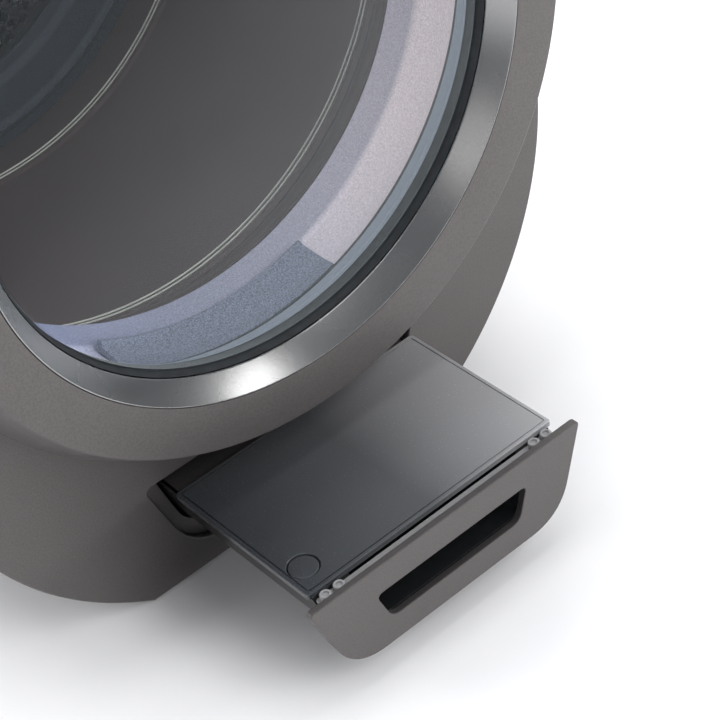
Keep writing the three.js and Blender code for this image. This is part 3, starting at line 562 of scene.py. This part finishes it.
def window_glass():
    """Clear glass: see-through, with a mirror-like share that grows at grazing angles."""
    glass = Finish("window_glass", (0.75, 0.82, 0.85), 0.03)
    glass.vary_roughness(30, 0.01)
    nodes = glass.tree.nodes
    clear = nodes.new("ShaderNodeBsdfTransparent")
    clear.inputs["Color"].default_value = (0.97, 0.985, 0.99, 1)
    facing = nodes.new("ShaderNodeLayerWeight")
    facing.inputs["Blend"].default_value = 0.2
    mix = nodes.new("ShaderNodeMixShader")
    glass.link(glass.spread(facing.outputs["Facing"], 0.01, 0.5, 0.1, 1), mix.inputs["Fac"])
    glass.link(clear.outputs["BSDF"], mix.inputs[1])
    glass.link(glass.shader.outputs["BSDF"], mix.inputs[2])
    glass.link(mix.outputs["Shader"], nodes["Material Output"].inputs["Surface"])
    return glass.material


def dark_lens():
    """The black window over the display."""
    lens = Finish("dark_lens", (0.008, 0.009, 0.011), 0.08)
    return lens.vary_roughness(60, 0.02).vary_colour(200, 0.2).coat(1, 0.03).material


def bare_steel():
    """Brushed steel, its scratches running up and down."""
    steel = Finish("bare_steel", (0.50, 0.50, 0.51), 0.32, 1.0)
    along = steel.stretched((1500, 1500, 60))
    steel.vary_colour(1, 0.10, 2, along)
    return steel.bump(1, 0.004, 2, along).material


def white_plastic():
    """Off-white moulding, also used for the pale rings in the drum that are painted highlights."""
    plastic = Finish("white_plastic", (0.66, 0.65, 0.60), 0.5)
    return plastic.vary_colour(500, 0.05).bump(900, 0.02).material


def circuit_board():
    """Green board with a blotchy colour."""
    board = Finish("circuit_board", (0.012, 0.10, 0.045), 0.3)
    return board.vary_colour(260, 0.4).bump(700, 0.02).material


def pale_floor():
    """The studio's plain floor."""
    floor = Finish("pale_floor", (0.84, 0.84, 0.85), 0.75)
    return floor.vary_colour(25, 0.008).material


COAT = satin_coat()
TRIM = bright_trim()
RUBBER = black_rubber()
LINER = grey_liner()
FROSTED = frosted_liner()
FELT = filter_felt()
SHEET = drum_sheet()
SPECKLED = speckled_plate()
PLASTIC = fine_plastic()
GLOSS = gloss_black()
SMOKY = smoky_lid()
TRAY = tray_plastic()
CLEAR = clear_plastic()
GLASS = window_glass()
LENS = dark_lens()
STEEL = bare_steel()
WHITE = white_plastic()
BOARD = circuit_board()

FINISH_OF_SLOT = {
    "gunmetal_coat": COAT, "bright_trim": TRIM, "black_rubber": RUBBER, "window_glass": GLASS,
    "grey_liner": LINER, "frosted_liner": FROSTED, "drum_sheet": SHEET, "black_plastic": PLASTIC,
    "tray_plastic": TRAY, "smoky_plastic": SMOKY, "dark_lens": LENS, "bare_steel": STEEL,
    "white_plastic": WHITE, "circuit_board": BOARD,
}


def finish_frame():
    """Gives every CAD node the finish of its slot."""
    for name, node in frame["nodes"].items():
        for slot in node.material_slots:
            slot.material = FINISH_OF_SLOT[SLOT_OF[name]]


# ---------------------------------------------------------------- door


def hinge_notch():
    """The room that the hinge's knuckles need in the door's edge."""
    low, high = box_mm("cabinet_hinge_leaf")
    outline = rectangle(-HALF_WIDTH - 5, -HALF_WIDTH + 12, low.z - 2, high.z + 2, 1)
    return plate([outline], -12, 1, 0.2)


def make_door():
    """The deep door ring, its bright inner chamfer, the gasket, the glass and the liner behind."""
    ring = rounded([
        (117.8, -32.3, 0.3), (138, -32.3, 0.7), (145.5, -17.9, 1.2), (145.5, -2.2, 0.6),
        (141.2, -2.2), (141.2, -16.8), (135.5, -28.8), (121, -28.8), (121, -20.5), (117.8, -20.5),
    ])
    piece("door_ring_fine", carved(turned(ring), hinge_notch()), COAT, "door_ring")
    chamfer = rounded([
        (117.15, -32.3, 0.15), (117.5, -32.3, 0.15), (117.5, -21), (110.5, -21), (110.5, -22.9, 0.4),
    ], 0.3)
    piece("chamfer_ring_fine", turned(chamfer), TRIM, "door_trim_ring")
    gasket = rounded([
        (110.2, -22.6, 0.5), (109.1, -20.4, 0.6), (108.8, -19.2, 0.4), (108.8, -14),
        (113.5, -14), (113.5, -20.7), (110.2, -20.7),
    ])
    piece("gasket_fine", turned(gasket), RUBBER, "glass_gasket")
    glass = rounded([
        (0, -19.6, 0), (108.3, -19.6, 0.7), (108.3, -15.2, 0.7), (0, -15.2, 0),
    ])
    piece("glass_fine", turned(glass), GLASS, "door_glass")
    liner = rounded([
        (109.2, -13.7, 0.3), (110.6, -11.2, 0.5), (110.6, -10.2, 0.4), (113.2, -9.4, 0.5),
        (115.4, -2.2, 0.6), (140.7, -2.2), (140.7, -4.6), (117.6, -4.6), (113.4, -13.7),
    ])
    piece("door_liner_fine", carved(turned(liner), hinge_notch()), LINER, "door_inner_ring")


def make_hinge():
    """The hinge's leaves and pin, and the magnet with its catch plate."""
    for node in ["door_hinge_leaf", "cabinet_hinge_leaf", "hinge_pin", "door_magnet", "catch_plate"]:
        piece(node + "_fine", softened(node, 0.25), STEEL, node)


# ---------------------------------------------------------------- mouth and drum

FILTER_START = -121   # degrees from +X
FILTER_END = -72
FILTER_OVERLAP = 4.5  # degrees that the filter reaches past its window at each end


def make_mouth():
    """The pale ring in the cabinet's mouth, its seals, and the filter in its sill."""
    ring = rounded([
        (118, 0.8, 0.4), (119.2, 3.6, 0.8), (120.4, 8, 0.8), (120.4, 22.6, 0.6),
        (119.0, MOUTH_STEP, 1.2), (115.4, 36, 0.8), (117.6, 36, 0.8), (121.4, 25.5),
        (122.6, 23.8), (122.6, 5.9), (140, 5.9), (140, 3.4), (121.6, 3.4), (121.6, 0.8, 0.4),
    ])
    window = turned(
        [(114, 2.6), (121, 2.6), (126, 10.5), (126, 20), (114, 20)],
        FILTER_START + FILTER_OVERLAP, FILTER_END - FILTER_OVERLAP, 40,
    )
    piece("mouth_ring_fine", carved(turned(ring), window), FROSTED, "mouth_ring")
    lip = rounded([
        (117.3, 1.4, 0.4), (118.4, 1.4, 0.3), (119.4, 8.2, 0.3), (119.4, 22.4, 0.3),
        (115.4, 22.4, 0.9), (115.0, 20.2, 0.9), (117.2, 18.6, 1.0), (118.2, 8, 1.0),
    ])
    piece("filter_fine", turned(lip, FILTER_START, FILTER_END, 64), FELT, "dust_filter")
    felt = rounded([(119.4, 32.5), (123, 32.5), (123, 36.6), (119.4, 36.6)], 0.8)
    piece("drum_felt_fine", turned(felt), RUBBER, "drum_felt")
    seal = rounded([(116, -1.8, 0.5), (121, -1.8), (121, 0.4), (117, 0.4)], 0.4)
    piece("door_seal_fine", turned(seal), RUBBER, "door_seal")


DRUM_RADIUS = 132
DRUM_OUTSIDE = 133.5
DRUM_BACK = 212
BEAD_DEPTHS = (61.9, 186)
# Depths and width of the pale rings that paint highlights beside the beads.
PAINTED_HIGHLIGHT_DEPTHS = (64.4, 66.6, 188.6, 190.8)
PAINTED_HIGHLIGHT_WIDTH = 0.35


def bead(depth):
    """A rolled bead that stands into the drum by 1.2 mm."""
    crest = DRUM_RADIUS - 1.2
    return [
        (DRUM_RADIUS, depth - 2, 0.8), (crest, depth - 0.6, 0.5),
        (crest, depth + 0.6, 0.5), (DRUM_RADIUS, depth + 2, 0.8),
    ]


def painted_highlight_ring(depth):
    """A thin pale ring that lies on the inside of the drum, a painted highlight beside a bead."""
    crest = DRUM_RADIUS - 0.6
    return turned([
        (crest, depth), (DRUM_RADIUS, depth),
        (DRUM_RADIUS, depth + PAINTED_HIGHLIGHT_WIDTH), (crest, depth + PAINTED_HIGHLIGHT_WIDTH),
    ])


def make_drum():
    """The drum's flared front ring, beaded shell, back pressing, honeycomb, spindle and pulley."""
    front_ring = rounded([
        (116.6, 37.5, 0.4), (118.4, 41.5, 2), (124.5, 51, 4), (131.4, 58.8, 0.4), (132, 59.5, 0.2),
        (133.5, 59.5, 0.3), (126, 50, 4), (120.5, 41, 2), (118.6, 37.5, 0.4),
    ])
    piece("drum_front_ring_fine", turned(front_ring), SHEET, "drum_front_ring")
    beads = [corner for depth in BEAD_DEPTHS for corner in bead(depth)]
    shell = rounded([
        (DRUM_RADIUS, 59.8, 0.2), *beads, (DRUM_RADIUS, DRUM_BACK, 0.3),
        (DRUM_OUTSIDE, DRUM_BACK, 0.3), (DRUM_OUTSIDE, 59.8, 0.3),
    ])
    piece("drum_shell_fine", turned(shell), SHEET, "drum_shell")
    # Painted highlights: pale rings for the bright lines of light beside the drum's beads.
    painted_highlight_rings = [painted_highlight_ring(depth) for depth in PAINTED_HIGHLIGHT_DEPTHS]
    added("drum_painted_highlights", merged(*painted_highlight_rings), WHITE, "drum_shell")
    pressing = rounded([
        (96, 211, 0.5), (101, 211, 0.8), (104, 208.2, 1.2), (120, 208.2, 1), (123, 205.8, 1.4),
        (126, 208.2, 1), (131.4, 208.2, 0.3), (131.4, 210, 0.3), (126.4, 210, 1), (123, 207.4, 1.4),
        (119.6, 210, 1), (104.8, 210, 1), (101.8, 212.7, 0.6), (96, 212.7, 0.4),
    ])
    piece("drum_pressing_fine", turned(pressing), SPECKLED, "drum_back_plate")
    piece("honeycomb_fine", honeycomb(), PLASTIC, "drum_grille", smooth_angle=20)
    piece("drum_spindle_fine", softened("drum_spindle", 0.3), STEEL, "drum_spindle")
    piece("drum_pulley_fine", softened("drum_pulley", 0.3), PLASTIC, "drum_pulley")


HONEYCOMB_PITCH = 6.2
HONEYCOMB_WEB = 1.3     # material left between two holes
HONEYCOMB_RADIUS = 93   # holes are centred inside this


def honeycomb():
    """A thin disc pierced by hexagonal holes, filled between them by one flat face."""
    low, high = box_mm("drum_grille")
    radius = high.x
    hole = (HONEYCOMB_PITCH - HONEYCOMB_WEB) / math.sqrt(3)
    rise = HONEYCOMB_PITCH * math.sqrt(3) / 2
    rows = int(HONEYCOMB_RADIUS / rise)
    disc = bmesh.new()

    def loop(points):
        corners = [disc.verts.new((x * MM, FACE_Y + low.y * MM, (AXIS_Z + z) * MM)) for x, z in points]
        return [disc.edges.new((a, b)) for a, b in zip(corners, corners[1:] + corners[:1])]

    edges = loop(circle((0, 0), radius, 144))
    for row in range(-rows, rows + 1):
        shift = HONEYCOMB_PITCH / 2 if row % 2 else 0
        for column in range(-rows, rows + 1):
            x, z = column * HONEYCOMB_PITCH + shift, row * rise
            if math.hypot(x, z) < HONEYCOMB_RADIUS:
                edges += loop(arc((x, z), hole, 30, 330, 5))
    bmesh.ops.triangle_fill(disc, edges=edges, use_beauty=True, use_dissolve=False)
    front = list(disc.faces)
    back = bmesh.ops.extrude_face_region(disc, geom=front, use_keep_orig=True)
    moved = [item for item in back["geom"] if isinstance(item, bmesh.types.BMVert)]
    bmesh.ops.translate(disc, verts=moved, vec=(0, (high.y - low.y) * MM, 0))
    bmesh.ops.recalc_face_normals(disc, faces=disc.faces)
    return disc


# ---------------------------------------------------------------- cabinet

MOUTH_RADIUS = 122.2
SKIRT_LAP = 2.2   # depth from the outer face at which a cover's skirt begins
COVER_EDGE = 0.9
VENT_HALF_LENGTH = 42
VENT_HEIGHTS = range(176, 249, 12)


def make_cabinet():
    """The front cover with its mouth and drawer slot, the long shell, and the vented rear cover."""
    mouth = circle((0, AXIS_Z), MOUTH_RADIUS, 160)
    face = plate([cabinet_outline(0), mouth, panel_outline(1)], 0, WALL, COVER_EDGE)
    skirt = plate([cabinet_outline(0.02), cabinet_outline(WALL)], SKIRT_LAP, COVER_DEPTH, 0.15)
    piece("front_cover_fine", merged(face, skirt), COAT, "front_cover", smooth_angle=PLATE_ANGLE)
    shell = plate(
        [cabinet_outline(0), cabinet_outline(WALL)], COVER_DEPTH + SEAM, SHELL_BACK, 0.25
    )
    piece("cabinet_shell_fine", shell, COAT, "cabinet_shell", smooth_angle=PLATE_ANGLE)
    make_rear_cover()
    for index in range(1, 5):
        make_foot(f"foot_{index}")
        make_rear_screw(f"rear_screw_{index}")


def make_rear_cover():
    """The rear cover, pierced for the mains socket, the vents and the screws."""
    inlet = inlet_outline(INLET_LIP - SEAM, 1)
    vents = [
        rectangle(-VENT_HALF_LENGTH, VENT_HALF_LENGTH, height - 2, height + 2, 1.9)
        for height in VENT_HEIGHTS
    ]
    screw_holes = [circle(seen_from_front(f"rear_screw_{i}"), 1.9, 24) for i in range(1, 5)]
    back = plate(
        [cabinet_outline(0), inlet, *vents, *screw_holes], REAR_BACK - WALL, REAR_BACK, COVER_EDGE
    )
    skirt = plate(
        [cabinet_outline(0.02), cabinet_outline(WALL)], SHELL_BACK + SEAM, REAR_BACK - SKIRT_LAP, 0.15
    )
    piece("rear_cover_fine", merged(back, skirt), PLASTIC, "rear_cover", smooth_angle=PLATE_ANGLE)


def make_foot(node):
    """A rubber foot: a flat sole and the stem that holds it in the cabinet's floor."""
    sole, stem = 9, 2.6
    profile = rounded([
        (0, 0, 0), (sole - 0.6, 0, 0.5), (sole, 0.7, 0.3), (sole, 1.2, 0.2), (stem, 1.2, 0.1),
        (stem, 7, 0.3), (0, 7, 0),
    ], 0.3, 3)
    foot = turned(profile, steps=48, centre=seen_from_above(node), upright=True)
    piece(node + "_fine", foot, RUBBER, node)


def make_rear_screw(node):
    """A pan-head screw with a cross recess."""
    low, high = box_mm(node)
    x, z = seen_from_front(node)
    under = high.y - 1.6
    profile = rounded([
        (0, low.y, 0), (1.5, low.y, 0.3), (1.5, under, 0.1), (3, under, 0.3), (3, under + 0.7, 0.8),
        (2.1, high.y, 0.6), (0, high.y, 0),
    ], 0.3, 4)
    screw = turned(profile, steps=40, centre=(x, 0, z))
    slots = [
        plate([rectangle(x - a, x + a, z - b, z + b, 0.1)], high.y - 0.9, high.y + 1, 0.05)
        for a, b in ((1.7, 0.35), (0.35, 1.7))
    ]
    piece(node + "_fine", carved(screw, *slots), STEEL, node)


# ---------------------------------------------------------------- drawer


def make_drawer():
    """The drawer's panel with its grip, the finger pocket, the tray, the lid and its cap."""
    grip = trapezoid(
        half_top=38, half_bottom=32.6, bottom=26, top=41, top_radius=3.5, bottom_radius=4.5
    )
    low, high = box_mm("drawer_front")
    panel = plate([panel_outline(0), grip], low.y, high.y, 0.45)
    piece("drawer_panel_fine", panel, COAT, "drawer_front", smooth_angle=PLATE_ANGLE)
    make_pocket()
    make_tray()
    make_lid()
    make_bay()


def make_pocket():
    """The pocket behind the grip: a tube and its closed back."""
    low, high = box_mm("finger_pocket")
    wall = 2
    outer = trapezoid(41, 36, low.z, high.z, 3, 5)
    inner = trapezoid(41 - wall, 36 - wall, low.z + wall, high.z - wall, 3, 5)
    tube = plate([outer, inner], low.y, high.y - wall / 2, 0.4)
    back = plate([outer], high.y - wall, high.y, 0.4)
    piece("finger_pocket_fine", merged(tube, back), GLOSS, "finger_pocket")


BOSS_RADIUS = 2.4
BOSS_TOP = 52.6
BOSS_PLACES = (-55.3, -48.9, 48.9, 55.3)
LEDGE_BOTTOM = 48.9
LEDGE_TOP = 49.9
LEDGE_HALF_WIDTH = 58.5
DECK_BOTTOM = 49.6
DECK_TOP = 50.5
DECK_HALF_WIDTH = 59


def make_tray():
    """The tray, the ledge and clear bosses at its front, and the deck behind its lid."""
    piece("drawer_tray_fine", softened("drawer_tray", 0.5, 30), TRAY, "drawer_tray")
    low, high = box_mm("drawer_tray")
    ledge_outline = rectangle(-LEDGE_HALF_WIDTH, LEDGE_HALF_WIDTH, low.y + 0.2, low.y + 5, 1)
    ledge = plate([ledge_outline], LEDGE_BOTTOM, LEDGE_TOP, 0.2, level=True)
    well, well_floor = 1.3, BOSS_TOP - 1
    post = rounded([
        (0, LEDGE_TOP, 0), (BOSS_RADIUS, LEDGE_TOP, 0), (BOSS_RADIUS, BOSS_TOP, 0.8),
        (well, BOSS_TOP, 0.3), (well, well_floor, 0.2), (0, well_floor, 0),
    ])
    posts = [
        turned(post, steps=40, centre=(x, low.y + 0.1 + BOSS_RADIUS, 0), upright=True)
        for x in BOSS_PLACES
    ]
    added("tray_bosses", merged(ledge, *posts), CLEAR, "drawer_tray")
    behind_lid = box_mm("drawer_lid")[1].y + 0.5
    deck_outline = rectangle(-DECK_HALF_WIDTH, DECK_HALF_WIDTH, behind_lid, high.y - 0.5, 0.5)
    deck = plate([deck_outline], DECK_BOTTOM, DECK_TOP, 0.2, level=True)
    added("tray_deck", deck, COAT, "drawer_tray")


def make_lid():
    """The lid with a fine groove inside its edge, and the cap that plugs its hole."""
    low, high = box_mm("drawer_lid")
    cap_low, cap_high = box_mm("fill_cap")
    centre = seen_from_above("fill_cap")
    radius = (cap_high.x - cap_low.x) / 2
    outline = rectangle(low.x, high.x, low.y, high.y, 1.6)
    hole = circle(centre[:2], radius + 0.35, 64)
    lid = plate([outline, hole], low.z, high.z, 0.45, level=True)
    groove_sides = [
        rectangle(low.x + inset, high.x - inset, low.y + inset, high.y - inset, 1.2)
        for inset in (1.5, 2.1)
    ]
    groove = plate(groove_sides, high.z - 0.5, high.z + 1, 0.02, level=True)
    piece("lid_fine", carved(lid, groove), SMOKY, "drawer_lid", smooth_angle=PLATE_ANGLE)
    profile = rounded([
        (0, cap_low.z, 0), (3, cap_low.z, 0.3), (3, low.z, 0.1), (radius, low.z, 0.3),
        (radius, cap_high.z, 0.5), (0, cap_high.z, 0),
    ], 0.3)
    cap = turned(profile, steps=64, centre=centre, upright=True)
    piece("cap_fine", cap, SMOKY, "fill_cap")


def make_bay():
    """The coated flange behind the slot, and the channel that the tray runs in."""
    front, back = 3.5, box_mm("drawer_bay")[1].y
    inside = trapezoid(62.2, 52.8, 23.4, 54, 1, 9.5)
    outside = trapezoid(65.5, 55, 20, 56, 3, 10)
    flange = plate([panel_outline(4), inside], front, front + 2, 0.2)
    channel = plate([outside, inside], front + 1, back - 1, 0.2)
    end = plate([outside, trapezoid(30, 30, 28, 50, 2, 2)], back - 2, back, 0.2)
    piece("drawer_bay_fine", merged(flange, channel, end), COAT, "drawer_bay")


# ---------------------------------------------------------------- controls and inlet


def make_controls():
    """The pod on top with its display, knob and two buttons."""
    piece("control_pod_fine", softened("control_pod", 0.9), PLASTIC, "control_pod")
    piece("display_lens_fine", softened("display_lens", 0.3), LENS, "display_lens")
    make_knob()
    for node in ["power_button", "light_button"]:
        make_button(node)


KNURLS = 36
KNURL_HEIGHT = 0.02   # as a share of the knob's radius


def make_knob():
    """A knurled knob with a fine groove round its top."""
    low, high = box_mm("control_knob")
    centre = seen_from_above("control_knob")
    radius = (high.x - low.x) / 2
    foot = high.z - 9
    profile = rounded([
        (0, low.z, 0), (2.6, low.z, 0.3), (2.6, foot, 0), (radius - 0.4, foot, 0.4),
        (radius - 0.4, high.z - 0.9, 0.7), (radius - 2.2, high.z, 0.3),
        (radius - 3.0, high.z - 0.4, 0.3), (radius - 3.8, high.z, 0.3), (0, high.z, 0),
    ], 0.3)
    body = turned(profile, steps=96, centre=centre, upright=True)
    for vertex in body.verts:
        x, y = vertex.co.x - centre[0] * MM, vertex.co.y - FACE_Y - centre[1] * MM
        height = vertex.co.z / MM
        if math.hypot(x, y) > (radius - 0.8) * MM and foot + 0.8 < height < high.z - 1.2:
            wave = 1 + KNURL_HEIGHT * math.cos(KNURLS * math.atan2(y, x))
            vertex.co.x = centre[0] * MM + x * wave
            vertex.co.y = FACE_Y + centre[1] * MM + y * wave
    piece("knob_fine", body, TRIM, "control_knob")


def make_button(node):
    """A round button with a flange below and a dished top."""
    low, high = box_mm(node)
    radius = (high.x - low.x) / 2
    profile = rounded([
        (0, low.z, 0), (radius, low.z, 0.2), (radius, low.z + 1, 0.2), (radius - 1, low.z + 1, 0.1),
        (radius - 1, high.z, 0.6), (radius - 2, high.z, 0.3), (0, high.z - 0.5, 0),
    ], 0.3)
    button = turned(profile, steps=48, centre=seen_from_above(node), upright=True)
    piece(node + "_fine", button, COAT, node)


INLET_LIP = 3       # how far the mains socket's flange reaches past its body
WELL_FLOOR = 254    # depth at which the well for the plug ends and the solid block begins


def inlet_outline(inset, radius):
    """The mains socket's flange, drawn in by the inset."""
    low, high = box_mm("power_inlet")
    return rectangle(low.x + inset, high.x - inset, low.z + inset, high.z - inset, radius)


def make_inlet():
    """The mains socket: a flanged moulding with a well for the plug."""
    low, high = box_mm("power_inlet")
    x, z = seen_from_front("power_inlet")
    well = rectangle(x - 10, x + 10, z - 6.5, z + 6.5, 2.5)
    outline = inlet_outline(INLET_LIP, 1)
    body = plate([outline, well], WELL_FLOOR, high.y - 0.6, 0.3)
    flange = plate([inlet_outline(0, 3), well], REAR_BACK + SEAM, high.y, 0.4)
    block = plate([outline], low.y, WELL_FLOOR + 0.3, 0.3)
    piece("power_inlet_fine", merged(body, flange, block), PLASTIC, "power_inlet")


# ---------------------------------------------------------------- floor, light and camera


def make_floor():
    """A plain square floor that isn't part of the object."""
    size = 6.0
    mesh = bpy.data.meshes.new("floor")
    corners = [(-size, -size, 0), (size, -size, 0), (size, size, 0), (-size, size, 0)]
    mesh.from_pydata(corners, [], [(0, 1, 2, 3)])
    floor = bpy.data.objects.new("floor", mesh)
    floor.data.materials.append(pale_floor())
    bpy.context.scene.collection.objects.link(floor)


def soft_box(name, place, aim, width, height, power, colour=(1, 1, 1), glossy=True):
    """A rectangular lamp, in metres and watts, that the camera doesn't see."""
    light = bpy.data.lights.new(name, "AREA")
    light.shape = "RECTANGLE"
    light.size = width
    light.size_y = height
    light.energy = power
    light.color = colour
    lamp = bpy.data.objects.new(name, light)
    lamp.location = place
    lamp.rotation_euler = (Vector(aim) - Vector(place)).to_track_quat("-Z", "Y").to_euler()
    lamp.visible_camera = False
    lamp.visible_glossy = glossy
    bpy.context.scene.collection.objects.link(lamp)


def make_light():
    """A pale world, soft boxes round the object, two fills and a lamp inside the drum."""
    world = bpy.data.worlds.new("studio")
    world.use_nodes = True
    background = world.node_tree.nodes["Background"]
    background.inputs["Color"].default_value = (0.90, 0.93, 1.0, 1)
    background.inputs["Strength"].default_value = 0.28
    bpy.context.scene.world = world
    bpy.context.scene.view_settings.view_transform = "Standard"
    soft_box(
        "key", (0.83, -0.51, 0.85), aim=(-0.02, -0.12, 0.10), width=0.22, height=0.30, power=1.4
    )
    soft_box("overhead", (0.1, 0.45, 2.3), aim=(0, 0, 0), width=2.2, height=2.0, power=50)
    soft_box(
        "left_low", (-1.05, -0.95, 0.85), aim=(0, FACE_Y, AXIS_Z * MM),
        width=0.6, height=0.6, power=1.1, colour=(1.0, 0.97, 0.96),
    )
    soft_box("back_right", (1.3, 1.6, 1.5), aim=(0, -0.1, 0.1), width=1.6, height=1.2, power=18)
    soft_box("back_left", (-1.1, 0.9, 1.1), aim=(-0.3, -0.25, 0), width=0.9, height=0.9, power=14)
    soft_box(
        "low_fill", (0.6, -1.35, 0.16), aim=(0, -0.1, 0.06),
        width=1.2, height=0.25, power=14, glossy=False,
    )
    soft_box(
        "high_fill", (0.35, -1.35, 1.2), aim=(0, -0.1, 0.06),
        width=1.0, height=1.0, power=15, glossy=False,
    )
    soft_box(
        "drum_glow", (-0.055, FACE_Y + 0.10, 0.265), aim=(0.10, FACE_Y + 0.02, 0.15),
        width=0.08, height=0.08, power=0.22, glossy=False,
    )


# Fitted to the photograph: angles in degrees, lengths in metres, the lens in millimetres.
CAMERA_AZIMUTH = -34.17
CAMERA_ELEVATION = 39.73
CAMERA_ROLL = -10.53
CAMERA_DISTANCE = 0.7994
CAMERA_AIM = (0, FACE_Y, 0.115)
CAMERA_PAN = (0.0388, -0.0298)
CAMERA_LENS = 106.2


def make_camera():
    """Looks down from the front left, turned about its own axis and slid sideways off the aim."""
    azimuth, elevation = math.radians(CAMERA_AZIMUTH), math.radians(CAMERA_ELEVATION)
    back = Vector((
        math.sin(azimuth) * math.cos(elevation),
        -math.cos(azimuth) * math.cos(elevation),
        math.sin(elevation),
    ))
    level = Vector((math.cos(azimuth), math.sin(azimuth), 0))
    lift = back.cross(level)
    roll = math.radians(CAMERA_ROLL)
    right = level * math.cos(roll) + lift * math.sin(roll)
    up = lift * math.cos(roll) - level * math.sin(roll)
    camera = bpy.data.cameras.new("camera")
    camera.lens = CAMERA_LENS
    camera.sensor_width = 36
    camera.clip_start = 0.01
    holder = bpy.data.objects.new("camera", camera)
    bpy.context.scene.collection.objects.link(holder)
    place = Vector(CAMERA_AIM) + back * CAMERA_DISTANCE + right * CAMERA_PAN[0] + up * CAMERA_PAN[1]
    turn = Matrix((right, up, back)).transposed().to_4x4()
    holder.matrix_world = Matrix.Translation(place) @ turn
    bpy.context.scene.camera = holder


finish_frame()
make_camera()
make_door()
make_hinge()
make_mouth()
make_drum()
make_cabinet()
make_drawer()
make_controls()
make_inlet()
make_floor()
make_light()
